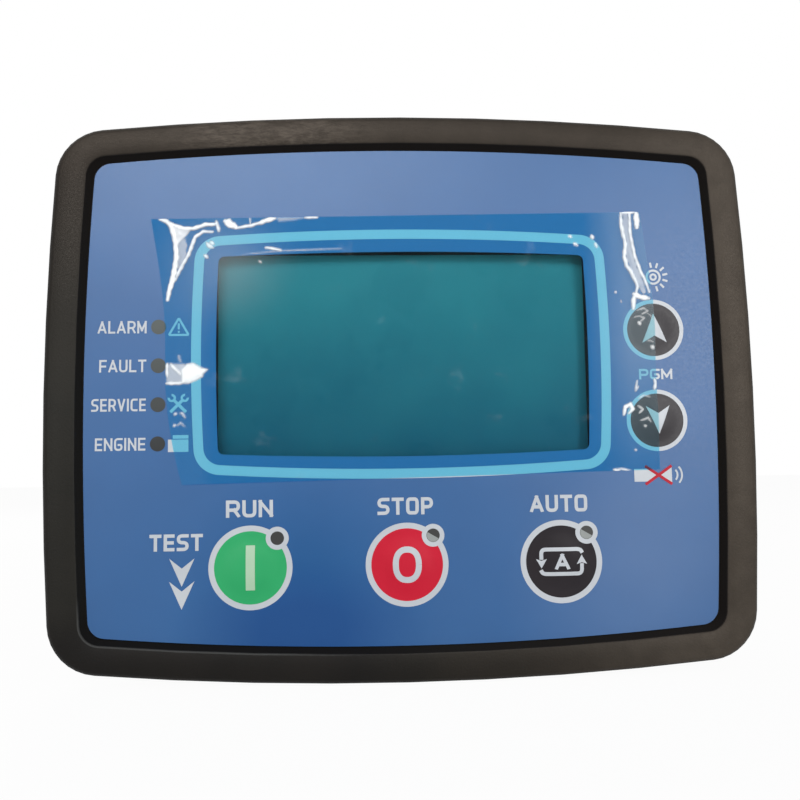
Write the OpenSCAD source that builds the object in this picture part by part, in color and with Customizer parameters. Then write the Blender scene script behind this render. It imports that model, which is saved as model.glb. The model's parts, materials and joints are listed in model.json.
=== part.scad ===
// Panel-mounted generator-set controller.
// Modelled face up: x to the right and y up as the operator sees the front, z towards the operator.
// Every sub-part is then stood upright, so the front faces -Y, the back faces +Y and +Z is up.
// The origin is the centre of the panel cut-out, on the front face of the panel.

/* [Bezel] */
// Overall width of the bezel
bezel_w = 139; // [134:1:150]
// Overall height of the bezel
bezel_h = 111; // [108:1:120]
// Distance that the left and right sides bow outwards
side_bow = 2.4; // [1.6:0.1:3.2]
// Distance that the top and bottom sides bow outwards
end_bow = 3.8; // [2.4:0.1:4.6]
// Radius of the outer corners
corner_r = 10; // [9.6:0.2:12]
// Height of the bezel's face above the panel
bezel_front = 8.5; // [8:0.1:10]
// Width of the flat band at the top and bottom of the face
band_w = 6.1; // [5.6:0.1:6.4]
// Width of the steep wall from the band down to the film
slope_w = 0.6; // [0.4:0.1:0.8]
// Share by which the bands at the left and right are wider
side_more = 0.06; // [0:0.01:0.1]
// Depth of the film below the bezel's face
film_recess = 1.6; // [1.2:0.1:2]
// Radius of the bezel's outer front edge
edge_r = 1.2; // [0.6:0.1:1.8]

/* [Front plate] */
// Thickness of the plate behind the film
plate_t = 2.2; // [1.8:0.1:2.8]
// Distance of the display window from the bezel's sides
window_side = 32.8; // [31.5:0.1:35.5]
// Distance of the display window below the bezel's top
window_top = 27.5; // [26.5:0.1:30]
// Distance of the display window above the bezel's bottom
window_bottom = 43; // [42:0.1:46]
// Distance between the run, stop and auto keys
key_pitch = 30; // [26:0.5:33]
// Distance of the run, stop and auto keys above the bezel's bottom
key_up = 22.1; // [21.5:0.1:24.5]
// Distance of the up and down keys from the bezel's side
nav_side = 19.5; // [19:0.1:20.5]
// Height of the up key
nav_up_y = 11.9; // [10:0.1:16]
// Height of the down key
nav_down_y = -6.2; // [-10:0.1:-4]
// Place of a key's lamp, to the right of the key and above it
key_lamp = [5.1, 5.5]; // [4.5:0.1:6]
// Distance of the status lamps from the bezel's side
status_side = 21.7; // [20.5:0.1:23.5]
// Height of the top status lamp
status_y = 13.3; // [10:0.1:16]
// Distance between the status lamps
status_pitch = 7.6; // [5:0.1:8.5]
// Number of status lamps
status_count = 4; // [2:1:4]

/* [Film] */
// Thickness of the printed film
film_t = 0.25; // [0.2:0.05:0.4]
// Height of the key domes pressed into the film
dome_h = 0.35; // [0.2:0.05:0.6]
// Radius of the run, stop and auto domes
key_dome_r = 5.9; // [5.6:0.1:6.6]
// Radius of the up and down domes
nav_dome_r = 4.8; // [4.6:0.1:5.2]
// Thickness of the protective film
peel_t = 0.1; // [0.05:0.01:0.15]
// Distance of the protective film's edges from the bezel's sides
peel_side = 20; // [17.5:0.5:23.5]
// Distance of the protective film below the bezel's top
peel_down = 20.7; // [17.5:0.1:22.5]
// Distance of the protective film above the bezel's bottom
peel_up = 38; // [35.5:0.5:40.5]
// Distance that the protective film narrows below its top left corner
peel_flare = 3; // [1:0.5:5]
// Distance that the protective film's top edge rises to the right
peel_rise = 1.2; // [0:0.1:2]
// Distance that the protective film's right edge leans in at the top
peel_lean = 1.3; // [0:0.1:2]

/* [Keys] */
// Radius of the run, stop and auto buttons
key_r = 4.6; // [4:0.1:4.8]
// Radius of the up and down buttons
nav_r = 3.7; // [3.2:0.1:3.8]
// Play around a button in the plate
key_play = 0.2; // [0.1:0.05:0.3]
// Travel of a key
key_travel = 0.3; // [0.2:0.05:0.4]
// Side of a key switch
switch_w = 6; // [5:0.1:6.2]
// Height of a key switch's body
switch_h = 3.5; // [3:0.1:3.6]
// Height of a switch's stem above its body
stem_h = 0.8; // [0.6:0.1:0.9]
// Radius of a switch's stem
stem_r = 1.7; // [1.2:0.1:2]

/* [Panel and housing] */
// Distance that the bezel covers the panel at the left and right of its cut-out
cover_w = 10.5; // [9.5:0.25:11.5]
// Distance that the bezel covers the panel above and below its cut-out
cover_h = 9.5; // [9:0.25:11]
// Play between the collar and the cut-out
cutout_play = 0.75; // [0.4:0.05:1]
// Thickest panel that the brackets clamp
panel_t = 5; // [5:0.5:7]
// Thickness of the gasket
gasket_t = 2; // [1.5:0.1:2.5]
// Wall of the collar and of the rear housing
wall = 2; // [1.6:0.1:2.4]
// Distance of the rear housing's steps behind the panel
step_depth = 22; // [21:0.5:25]
// Distance of the rear housing's back behind the panel
back_depth = 38.5; // [37.5:0.5:44]
// Slope of the hump's flanks
hump_slope = 2; // [0.5:0.25:3]

/* [Display and boards] */
// Thickness of the display glass
glass_t = 2.4; // [2:0.1:2.8]
// Thickness of the backlight
backlight_t = 3.1; // [2.8:0.1:3.5]
// Thickness of the display's metal frame
frame_t = 0.5; // [0.3:0.1:0.8]
// Thickness of the circuit boards
board_t = 1.6; // [1:0.1:2]
// Length of the spacers between the boards
spacer_l = 11.4; // [11:0.2:12]
// Diameter of a lamp
lamp_d = 2.9; // [2.5:0.1:3]
// Height of a lamp
lamp_h = 5.05; // [4.5:0.05:5.5]

/* [Terminals] */
// Distance between the ways of a terminal plug
way = 5.08; // [5:0.02:5.1]
// Ways of the upper plugs
upper_ways = [4, 4, 3]; // [2:1:4]
// Ways of the lower plugs
lower_ways = [10, 6]; // [2:1:10]
// Distance of a plug row's centre from the housing's wall
row_in = 7.25; // [7:0.25:8]
// Room between the plugs and the hump
plug_room = 2.5; // [1.5:0.25:3.5]
// Height of the terminal headers
header_h = 12; // [11.5:0.5:13]
// Length of a plug behind its header
plug_l = 10; // [9:0.5:12]

/* [Brackets] */
// Distance of a clamp screw from the collar
clamp_reach = 6.25; // [6:0.25:7]
// Radius of a clamp screw
clamp_r = 2; // [1.5:0.1:2.5]
// Length of a clamp screw
clamp_l = 30; // [28:1:34]
// Thickness of a bracket's plate
bracket_t = 2.5; // [2:0.1:2.6]

/* [Hidden] */
$fn = 48;
side_steps = 6;
end_steps = 8;
corner_steps = 8;
eps = 0.02;

black_plastic = [0.16, 0.14, 0.12];
film_blue = [0.20, 0.38, 0.63];
board_green = [0.05, 0.28, 0.16];
terminal_green = [0.10, 0.48, 0.22];
steel = [0.72, 0.73, 0.75];
dark_part = [0.10, 0.10, 0.11];

// Layout of the front, from the bezel's edges
window_w = bezel_w - 2 * window_side;
window_h = bezel_h - window_top - window_bottom;
window_y = (window_bottom - window_top) / 2;
key_y = key_up - bezel_h / 2;
nav_x = bezel_w / 2 - nav_side;
status_x = status_side - bezel_w / 2;
peel_x = bezel_w / 2 - peel_side;
peel_top = bezel_h / 2 - peel_down;
peel_bottom = peel_up - bezel_h / 2;

// Heights through the front, from the film back to the rear board
film_seat = bezel_front - film_recess;
film_top = film_seat + film_t;
plate_back = film_seat - plate_t;
fit_gap = 0.1;
frame_front = plate_back - fit_gap;
glass_front = frame_front - frame_t;
glass_back = glass_front - glass_t;
board_front = glass_back - backlight_t;
board_back = board_front - board_t;
rear_front = board_back - spacer_l;
rear_back = rear_front - board_t;

// Panel cut-out and housing
cutout_w = bezel_w - 2 * cover_w;
cutout_h = bezel_h - 2 * cover_h;
collar_w = cutout_w - 2 * cutout_play;
collar_h = cutout_h - 2 * cutout_play;
collar_r = 3;
collar_depth = panel_t;
in_w = collar_w - 2 * wall;
in_h = collar_h - 2 * wall;
in_r = max(collar_r - wall, 0.5);
root = plate_t / 2;
lip_w = 1.8;
ring_w = band_w + slope_w + lip_w;
rim_gap = 0.5;
channel_in = 2.5;
channel_out = band_w + slope_w + 0.2;
gasket_play = 0.3;
core_side = 1.1;
inner_edge_r = 0.4;
window_r = 1;
lamp_play = 0.15;
lamp_hole_r = lamp_d / 2 + lamp_play;
hump_edge = 1.5;
vent_count = 9;
vent_w = 2;
vent_pitch = 6;
plate_w = 70;
plate_h = 30;
plate_sunk = 0.4;

// Films
film_gap = 0.25;
film_in = band_w + slope_w + film_gap;
film_corner_r = 4.2;
peel_swing = 26;
peel_bend = nav_up_y + 6;

// Joint between the collar and the rear housing
tongue_gap = 0.15;
tongue_t = 1.4;
tongue_l = 3.6;
tongue_w = in_w - 2 * tongue_gap;
tongue_d = in_h - 2 * tongue_gap;
root_l = 4;
snap_w = 8;
snap_x = 28;
snap_h = 1.6;
snap_foot = 1.2 - collar_depth;
snap_tip = 0.3;
snap_depth = 1.1;
snap_play = 0.25;

// Boards
plug_y = 11;
board_gap = 2;
board_w = in_w - 2 * board_gap;
board_h = in_h - 2 * board_gap;
board_r = 1.5;
post_in = 6;
post_row = 5;
post_x = in_w / 2 - post_in;
post_y = in_h / 2 - row_in - plug_y / 2 - post_row;
post_r = 3;
screw_r = 1.25;
screw_play = 0.1;
screw_bite = 4;
screw_head_r = 2.3;
screw_head_h = 1.8;
screw_slot = 0.6;

// Display
glass_over_w = 3.2;
glass_over_h = 3;
glass_w = window_w + 2 * glass_over_w;
glass_h = window_h + 2 * glass_over_h;
frame_w = glass_w + 2 * (frame_t + fit_gap);
frame_h = glass_h + 2 * (frame_t + fit_gap);
frame_show = 1;

// Parts on the boards
chip_x = 0;
chip_y = 12;
chip_w = 14;
chip_t = 1.6;
chip_leads = 12;
chip_pitch = 1;
chip_foot = 1;
lead_t = 0.15;
lead_w = 0.4;
crystal_w = 11;
crystal_h = 4.6;
crystal_t = 3.5;
crystal_x = 17;
link_x = -30;
link_w = 5;
link_h = 27;
link_base = 2.5;
link_reach = 6;
link_wall = 0.6;
link_pins = 10;
link_pitch = 2.54;
pin_w = 0.9;
relay_count = 3;
relay_w = 15.5;
relay_d = 19;
relay_h = 15.5;
relay_gap = 2;
relay_vent_r = 0.8;
relay_vent_d = 0.5;
can_y = 9;
can_r = 6.25;
can_h = 16;
can_groove = 3;
can_roll = 0.6;
choke_r = 6;
choke_h = 9;
choke_lip = 1.2;
power_l = relay_count * (relay_w + relay_gap) + 4 * can_r + relay_gap;
relay_x = (relay_w - power_l) / 2;
can_x = power_l / 2 - 3 * can_r - relay_gap;
cell_x = can_x + 2 * can_r + relay_gap;
cell_r = 5.5;
cell_t = 2.2;
cell_cap = 0.3;

// Keys: x, y, button radius, dome radius
keys = [
  [-key_pitch, key_y, key_r, key_dome_r],
  [0, key_y, key_r, key_dome_r],
  [key_pitch, key_y, key_r, key_dome_r],
  [nav_x, nav_up_y, nav_r, nav_dome_r],
  [nav_x, nav_down_y, nav_r, nav_dome_r],
];
dome_slope = 0.65;
flange_over = 0.7;
flange_t = 0.8;
key_flange_top = plate_back - key_travel;
stem_top = board_front + switch_h + stem_h;
stem_in = 1.2;
status_places = [for (i = [0:status_count - 1]) [status_x, status_y - i * status_pitch]];
key_lamp_places = [for (i = [0:2]) [keys[i][0], keys[i][1]] + key_lamp];
lamp_base = film_seat - fit_gap - lamp_h;
lamp_flange_h = 1;
lamp_flange_over = 0.3;
lead_r = 0.3;
lead_x = 1;

// Terminals
end_wall = 0.8;
plug_gap = 1;
header_wall = 0.9;
header_y = 9.2;
header_floor = 2.5;
nose_play = 0.2;
nose_gap = 0.4;
nose_in = header_wall + nose_play;
row_y = in_h / 2 - row_in;
hump_y = row_y - plug_y / 2 - plug_room;
pin_l = 6.5;
mouth_w = 3.4;
mouth_h = 3.2;
mouth_d = 6.5;
well_r = 1.5;
screw_sunk = 0.8;
cage_t = 0.5;
cage_in = 1;
rib_w = 0.3;
rib_h = 0.5;
slot_play = 0.3;
jack_w = 13.2;
jack_h = 12;
jack_l = 14;
jack_wall = 1.6;
jack_gap = 2;
latch_w = 6;
contact_w = 0.5;
contact_pitch = 1.02;
contact_in = 2;
upper_total = jack_w + jack_gap + row_length(upper_ways);
jack_x = -upper_total / 2 + jack_w / 2;
upper_start = -upper_total / 2 + jack_w + jack_gap;
lower_start = -row_length(lower_ways) / 2;
header_end = rear_back - header_h;

// Brackets
bracket_gap = 0.1;
tab_y = 8;
tab_w = 6;
tab_h = 3;
tab_lip = 1.9;
tab_play = 0.15;
tab_back = 16.1;
tab_in = 1.4;
bracket_half = 12.5;
bracket_front = 11;
bracket_back = 25;
boss_r = 4;
boss_web = 5;
flange_out = 2;
rib_t = 1.6;
clamp_play = 0.08;
clamp_head_r = 3.5;
clamp_head_h = 2.5;
clamp_slot = 1;
clamp_x = collar_w / 2 + clamp_reach;

// Arc about c from angle a to angle b, in n steps
function arc(c, r, a, b, n) =
  [for (i = [0:n]) let (t = a + (b - a) * i / n) c + r * [cos(t), sin(t)]];
function without_last(v) = [for (i = [0:len(v) - 2]) v[i]];

// Radius of an arc that bows out by bow over the half chord
function bow_radius(half, bow) = (half * half + bow * bow) / (2 * bow);

side_r = bow_radius(bezel_h / 2, side_bow);
end_r = bow_radius(bezel_w / 2, end_bow);
side_c = bezel_w / 2 - side_r;
end_c = bezel_h / 2 - end_r;

// Inset of the left and right sides where the top and bottom are set in by d
function side_in(d) = d * (1 + side_more);

// Centre of a corner arc of radius r on the outline set in by d:
// the point where the side arc and the end arc, both set in by r more, cross
function corner_at(d, r) =
  let (
    a = side_r - side_in(d) - r,
    b = end_r - d - r,
    span = norm([side_c, end_c]),
    t = (a * a - b * b + span * span) / (2 * span),
    h = sqrt(a * a - t * t),
    u = [-side_c, end_c] / span
  )
  [side_c, 0] + t * u + h * [-u[1], u[0]];

// Angles at which the side arc and the end arc meet a corner arc centred on p
function side_angle(p) = atan2(p[1], p[0] - side_c);
function end_angle(p) = atan2(p[1] - end_c, p[0]);

// Bowed outline set in by d, with corner radius r, as four long arcs and four corners
function bowed_points(d, r) =
  let (
    p = corner_at(d, r),
    s = side_angle(p),
    e = end_angle(p),
    half = concat(
      without_last(arc([side_c, 0], side_r - side_in(d), -s, s, side_steps)),
      without_last(arc(p, r, s, e, corner_steps)),
      without_last(arc([0, end_c], end_r - d, e, 180 - e, end_steps)),
      without_last(arc([-p[0], p[1]], r, 180 - e, 180 - s, corner_steps))
    )
  )
  concat(half, [for (q = half) -q]);
function inset_points(d) = bowed_points(d, corner_r - d);

function rounded_points(w, h, r) =
  let (x = w / 2 - r, y = h / 2 - r)
  concat(
    arc([x, y], r, 0, 90, 8),
    arc([-x, y], r, 90, 180, 8),
    arc([-x, -y], r, 180, 270, 8),
    arc([x, -y], r, 270, 360, 8)
  );

function sum(v, n) = n <= 0 ? 0 : v[n - 1] + sum(v, n - 1);
function plug_length(ways) = ways * way + 2 * end_wall;
function row_length(ways) = sum(ways, len(ways)) * way + len(ways) * (2 * end_wall + plug_gap) - plug_gap;
function plug_x(start, ways, i) =
  start + sum(ways, i) * way + i * (2 * end_wall + plug_gap) + plug_length(ways[i]) / 2;
function way_x(ways, k) = (k - (ways - 1) / 2) * way;

// Places of every way: x, y and the side that its screw faces
function row_places(start, ways, y) =
  [for (i = [0:len(ways) - 1]) for (k = [0:ways[i] - 1])
    [plug_x(start, ways, i) + way_x(ways[i], k), y]];
way_places = concat(
  row_places(upper_start, upper_ways, row_y),
  row_places(lower_start, lower_ways, -row_y)
);

module upright() rotate([90, 0, 0]) children();

// Block from z = bottom to z = top, centred on x and y
module block(w, h, bottom, top, x = 0, y = 0)
  translate([x - w / 2, y - h / 2, bottom]) cube([w, h, top - bottom]);

module slab(points, bottom, top)
  translate([0, 0, bottom]) linear_extrude(top - bottom) polygon(points);

module rod(r, bottom, top, x = 0, y = 0)
  translate([x, y, bottom]) cylinder(r = r, h = top - bottom);

module at_corners(x, y)
  for (i = [-1, 1]) for (j = [-1, 1]) translate([i * x, j * y, 0]) children();

// Solid with the bowed outline at each [inset, z] step of a profile, from its foot to its last step
module lofted(profile) {
  rings = [for (q = profile) [for (v = inset_points(q[0])) [v[0], v[1], q[1]]]];
  n = len(rings[0]);
  last = len(rings) - 1;
  polyhedron(
    points = [for (ring = rings) each ring],
    faces = concat(
      [[for (i = [0:n - 1]) i]],
      [for (j = [0:last - 1]) for (i = [0:n - 1])
        [j * n + i, (j + 1) * n + i, (j + 1) * n + (i + 1) % n, j * n + (i + 1) % n]],
      [[for (i = [n - 1:-1:0]) last * n + i]]
    )
  );
}

// Ring between two insets of the bowed outline
module bowed_ring(outer, inner, bottom, top) difference() {
  slab(inset_points(outer), bottom, top);
  slab(inset_points(inner), bottom - 1, top + 1);
}

// Section of the bezel's front: rolled outer edge, flat band, eased inner edge, wall to the film
bezel_section = concat(
  [[0, rim_gap]],
  [for (t = [0:22.5:90]) [edge_r * (1 - cos(t)), bezel_front - edge_r * (1 - sin(t))]],
  [for (t = [0:45:90])
    [band_w - inner_edge_r * (1 - sin(t)), bezel_front - inner_edge_r * (1 - cos(t))]],
  [[band_w + slope_w, film_seat]]
);

module front_housing() color(black_plastic) upright() {
  difference() {
    lofted(bezel_section);
    slab(inset_points(ring_w), rim_gap - 1, plate_back);
    bowed_ring(channel_in, channel_out, rim_gap - 1, gasket_t);
    bowed_ring(channel_in + core_side, channel_out - core_side, gasket_t - eps, plate_back);
    slab([for (q = rounded_points(window_w, window_h, window_r)) q + [0, window_y]],
         plate_back - 1, film_seat + 1);
    for (k = keys) rod(k[2] + key_play, plate_back - 1, film_seat + 1, k[0], k[1]);
    for (q = concat(status_places, key_lamp_places))
      rod(lamp_hole_r, plate_back - 1, film_seat + 1, q[0], q[1]);
  }
  difference() {
    slab(rounded_points(collar_w, collar_h, collar_r), -collar_depth, plate_back + root);
    slab(rounded_points(in_w, in_h, in_r), -collar_depth - 1, plate_back + root + 1);
    for (i = [-1, 1]) block(snap_w + 2 * snap_play, collar_h + 2,
      snap_foot - snap_play, snap_foot + snap_h + snap_play, i * snap_x);
  }
  at_corners(post_x, post_y) difference() {
    rod(post_r, board_front, plate_back + root);
    rod(screw_r + screw_play, board_front - 1, board_front + screw_bite);
  }
}

// Rounded frustum of a key dome that stands on the film's upper face, grown by skin
module dome(k, foot, rise, skin = 0)
  translate([k[0], k[1], foot])
    cylinder(r1 = k[3] + skin, r2 = k[3] - dome_slope + skin, h = rise);

module graphic_overlay() color(film_blue) upright() difference() {
  union() {
    slab(bowed_points(film_in, film_corner_r), film_seat, film_top);
    for (k = keys) dome(k, film_top - eps, dome_h + eps);
  }
  for (k = keys) dome(k, film_seat - eps, dome_h + eps, -film_t);
}

// Outline of the protective film: its left edge swings in below the top corner, and its right edge
// leans in above the up key
peel_points = concat(
  [[peel_x, peel_bottom], [peel_x, peel_bend], [peel_x - peel_lean, peel_top + peel_rise]],
  [[-peel_x, peel_top]],
  [for (t = [0.25:0.25:1])
    [-peel_x + peel_flare * sin(90 * t), peel_top - peel_swing * t]],
  [[-peel_x + peel_flare, peel_bottom]]
);

module protective_film() color([0.62, 0.85, 0.95, 0.4]) upright() {
  difference() {
    slab(peel_points, film_top, film_top + peel_t);
    for (k = keys) dome(k, film_top - eps, dome_h + eps);
  }
  intersection() {
    slab(peel_points, film_top, film_top + dome_h + 1);
    for (k = [keys[3], keys[4]]) difference() {
      dome(k, film_top, dome_h + peel_t, peel_t);
      dome(k, film_top - eps, dome_h + eps);
    }
  }
}

module panel_gasket() color([0.09, 0.09, 0.09]) upright()
  bowed_ring(channel_in + gasket_play, channel_out - gasket_play, 0, gasket_t);

// Push button: head in the plate's hole, flange behind the plate, hub on the switch's stem
module button(k, shade) color(shade) upright() translate([k[0], k[1], 0]) {
  rod(k[2], key_flange_top - eps, film_seat + dome_h - fit_gap);
  rod(k[2] + flange_over, key_flange_top - flange_t, key_flange_top);
  rod(stem_r + flange_over, stem_top, key_flange_top - flange_t + eps);
}
module run_button() button(keys[0], [0.88, 0.88, 0.86]);
module stop_button() button(keys[1], [0.88, 0.88, 0.86]);
module auto_button() button(keys[2], [0.88, 0.88, 0.86]);
module up_button() button(keys[3], [0.88, 0.88, 0.86]);
module down_button() button(keys[4], [0.88, 0.88, 0.86]);

module stem(k) color([0.12, 0.12, 0.12]) upright()
  rod(stem_r, board_front + stem_in, stem_top, k[0], k[1]);
module run_stem() stem(keys[0]);
module stop_stem() stem(keys[1]);
module auto_stem() stem(keys[2]);
module up_stem() stem(keys[3]);
module down_stem() stem(keys[4]);

module switch_bodies() color(dark_part) upright() for (k = keys) difference() {
  block(switch_w, switch_w, board_front, board_front + switch_h, k[0], k[1]);
  rod(stem_r + fit_gap, board_front + stem_in - key_travel - fit_gap, board_front + switch_h + 1, k[0], k[1]);
}

// Lamp: flange, barrel and round nose, turned about its axis
lamp_section = concat(
  [[0, 0], [lamp_d / 2 + lamp_flange_over, 0], [lamp_d / 2 + lamp_flange_over, lamp_flange_h],
   [lamp_d / 2, lamp_flange_h]],
  arc([0, lamp_h - lamp_d / 2], lamp_d / 2, 0, 90, 6)
);
module lamp(q) translate([q[0], q[1], lamp_base]) rotate_extrude() polygon(lamp_section);
module status_lamps() color([0.45, 0.42, 0.38]) upright() for (q = status_places) lamp(q);
module key_lamps() color([0.45, 0.42, 0.38]) upright() for (q = key_lamp_places) lamp(q);
module lamp_spacers() color(dark_part) upright() for (q = concat(status_places, key_lamp_places))
  difference() {
    rod(lamp_d / 2 + lamp_flange_over, board_front, lamp_base, q[0], q[1]);
    for (i = [-1, 1]) rod(lead_r, board_front - 1, lamp_base + 1, q[0] + i * lead_x, q[1]);
  }

// Display: pressed metal frame over the glass, which lies on the backlight
module display_frame() color(steel) upright() difference() {
  block(frame_w, frame_h, board_front, frame_front, 0, window_y);
  block(frame_w - 2 * frame_t, frame_h - 2 * frame_t, board_front - 1, glass_front, 0, window_y);
  block(window_w + 2 * frame_show, window_h + 2 * frame_show, board_front, frame_front + 1, 0, window_y);
}
module display_glass() color([0.20, 0.42, 0.42]) upright()
  block(glass_w, glass_h, glass_back, glass_front, 0, window_y);
module backlight() color([0.92, 0.93, 0.90]) upright()
  block(glass_w, glass_h, board_front, glass_back, 0, window_y);

module board(bottom) difference() {
  slab(rounded_points(board_w, board_h, board_r), bottom, bottom + board_t);
  at_corners(post_x, post_y) rod(screw_r + screw_play, bottom - 1, bottom + board_t + 1);
}
module front_board() color(board_green) upright() board(board_back);
module rear_board() color(board_green) upright() board(rear_back);

// Flat square package with a row of bent leads on each side
module processor() color(dark_part) upright() translate([chip_x, chip_y, 0]) {
  block(chip_w, chip_w, board_back - chip_t, board_back - lead_t);
  for (turn = [0:90:270]) rotate([0, 0, turn]) for (i = [0:chip_leads - 1])
    translate([chip_w / 2, (i - (chip_leads - 1) / 2) * chip_pitch + lead_w / 2, board_back])
      rotate([90, 0, 0]) linear_extrude(lead_w) polygon([
        [-eps, -chip_t / 2], [chip_foot / 2, -chip_t / 2], [chip_foot / 2, -lead_t], [chip_foot, -lead_t],
        [chip_foot, 0], [chip_foot / 2 - lead_t, 0], [chip_foot / 2 - lead_t, lead_t - chip_t / 2],
        [-eps, lead_t - chip_t / 2],
      ]);
}
module crystal() color(steel) upright()
  slab([for (q = rounded_points(crystal_w, crystal_h, crystal_h / 2 - eps)) q + [chip_x + crystal_x, chip_y]],
       board_back - crystal_t, board_back);

module board_spacers() color([0.85, 0.80, 0.55]) upright() at_corners(post_x, post_y) difference() {
  translate([0, 0, rear_front]) cylinder(r = post_r, h = spacer_l, $fn = 6);
  rod(screw_r + screw_play, rear_front - 1, board_back + 1);
}
module board_screws() color(steel) upright() at_corners(post_x, post_y) difference() {
  union() {
    rod(screw_r, rear_back - eps, board_front + screw_bite - fit_gap);
    rod(screw_head_r, rear_back - screw_head_h, rear_back);
  }
  for (turn = [0, 90]) rotate([0, 0, turn])
    block(screw_head_r, screw_slot, rear_back - screw_head_h - 1, rear_back - screw_head_h / 2);
}

// Two-row pin link between the boards
module link_header() color(dark_part) upright() translate([link_x, 0, 0]) {
  block(link_w, link_h, board_back - link_base, board_back);
  for (i = [-(link_pins - 1) / 2:(link_pins - 1) / 2]) for (j = [-1, 1])
    block(pin_w, pin_w, board_back - link_base - link_reach, board_back - link_base + eps,
          j * link_pitch / 2, i * link_pitch);
}
module link_socket() color(dark_part) upright() translate([link_x, 0, 0]) difference() {
  block(link_w, link_h, rear_front, board_back - link_base - fit_gap);
  block(link_w - 2 * link_wall, link_h - 2 * link_wall,
        board_back - link_base - link_reach - fit_gap, board_front);
}

// Power parts on the back of the rear board
module relays() color([0.12, 0.25, 0.55]) upright() for (i = [0:relay_count - 1])
  difference() {
    block(relay_w, relay_d, rear_back - relay_h, rear_back, relay_x + i * (relay_w + relay_gap));
    rod(relay_vent_r, rear_back - relay_h - 1, rear_back - relay_h + relay_vent_d,
        relay_x + i * (relay_w + relay_gap) - relay_w / 3);
  }

// Can with a rolled groove near its seat and a recessed end
can_section = [
  [0, 0], [can_r, 0], [can_r, can_groove - can_roll], [can_r - can_roll, can_groove],
  [can_r, can_groove + can_roll], [can_r, can_h - can_roll], [can_r - can_roll, can_h],
  [can_r - 2 * can_roll, can_h], [can_r - 2 * can_roll, can_h - can_roll], [0, can_h - can_roll],
];
module capacitors() color([0.10, 0.10, 0.22]) upright() for (i = [0, 1])
  translate([can_x + i * (2 * can_r + relay_gap), can_y, rear_back]) rotate([180, 0, 0])
    rotate_extrude() polygon(can_section);

// Drum core with its winding
module choke() color([0.25, 0.16, 0.10]) upright() translate([can_x, -can_y, rear_back]) rotate([180, 0, 0])
  rotate_extrude() polygon([
    [0, 0], [choke_r, 0], [choke_r, choke_lip], [choke_r - choke_lip, choke_lip],
    [choke_r - choke_lip, choke_h - choke_lip], [choke_r, choke_h - choke_lip],
    [choke_r, choke_h], [0, choke_h],
  ]);

module clock_cell() color(steel) upright() translate([cell_x, -can_y, 0]) {
  rod(cell_r, rear_back - cell_t, rear_back);
  rod(cell_r - cell_cap, rear_back - cell_t - cell_cap, rear_back - cell_t + eps);
}

// Open-ended shroud of one terminal header, on the rear board
module header(x, y, ways) difference() {
  block(plug_length(ways), header_y, header_end, rear_back, x, y);
  block(plug_length(ways) - 2 * header_wall, header_y - 2 * header_wall,
        header_end - 1, rear_back - header_floor, x, y);
}
module upper_headers() color(terminal_green) upright() for (i = [0:len(upper_ways) - 1])
  header(plug_x(upper_start, upper_ways, i), row_y, upper_ways[i]);
module lower_headers() color(terminal_green) upright() for (i = [0:len(lower_ways) - 1])
  header(plug_x(lower_start, lower_ways, i), -row_y, lower_ways[i]);
module header_pins() color([0.80, 0.76, 0.62]) upright() for (q = way_places)
  block(pin_w, pin_w, rear_back - header_floor - pin_l, rear_back - header_floor, q[0], q[1]);

// Terminal plug: nose in its header, body with a wire mouth and a screw well for each way
module plug(start, ways, i, side) color(terminal_green) upright()
  translate([plug_x(start, ways, i), side * row_y, 0]) difference() {
    union() {
      block(plug_length(ways[i]) - 2 * nose_in, header_y - 2 * nose_in,
            header_end - eps, rear_back - header_floor - nose_gap);
      slab(side > 0 ? plug_side(ways[i]) : [for (q = plug_side(ways[i])) [-q[0], -q[1]]],
           header_end - plug_l, header_end);
    }
    for (k = [0:ways[i] - 1]) translate([way_x(ways[i], k), 0, 0]) {
      block(pin_w + 2 * nose_play, pin_w + 2 * nose_play,
            rear_back - header_floor - pin_l - nose_gap, rear_back);
      block(mouth_w, mouth_h, header_end - plug_l - 1, header_end - plug_l + mouth_d);
      translate([0, 0, header_end - plug_l / 2]) rotate([-90 * side, 0, 0])
        rod(well_r, mouth_h / 2 - eps, plug_y);
    }
  }

// Outline of a plug's body with coding ribs along its outer edge
function plug_side(ways) =
  let (w = plug_length(ways) / 2, h = plug_y / 2)
  concat(
    [[-w, -h], [w, -h], [w, h]],
    [for (k = [ways - 1:-1:1]) let (x = way_x(ways, k) - way / 2)
      each [[x + rib_w, h], [x + rib_w, h - rib_h], [x - rib_w, h - rib_h], [x - rib_w, h]]],
    [[-w, h]]
  );
module upper_plug_a() plug(upper_start, upper_ways, 0, 1);
module upper_plug_b() plug(upper_start, upper_ways, 1, 1);
module upper_plug_c() plug(upper_start, upper_ways, 2, 1);
module lower_plug_a() plug(lower_start, lower_ways, 0, -1);
module lower_plug_b() plug(lower_start, lower_ways, 1, -1);

// Slotted screws in the wells, and the steel cages that they close on the wires
module plug_screws() color(steel) upright() for (q = way_places)
  translate([q[0], q[1], header_end - plug_l / 2]) rotate([-90 * sign(q[1]), 0, 0]) difference() {
    rod(well_r - fit_gap, mouth_h / 2, plug_y / 2 - screw_sunk);
    block(2 * well_r, screw_slot, plug_y / 2 - screw_sunk - screw_slot, plug_y / 2);
  }
module wire_clamps() color([0.78, 0.74, 0.60]) upright() for (q = way_places) difference() {
  block(mouth_w - 2 * fit_gap, mouth_h - 2 * fit_gap,
        header_end - plug_l + cage_in, header_end - plug_l + mouth_d - fit_gap, q[0], q[1]);
  block(mouth_w - 2 * cage_t, mouth_h - 2 * cage_t, header_end - plug_l, header_end, q[0], q[1]);
}

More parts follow.
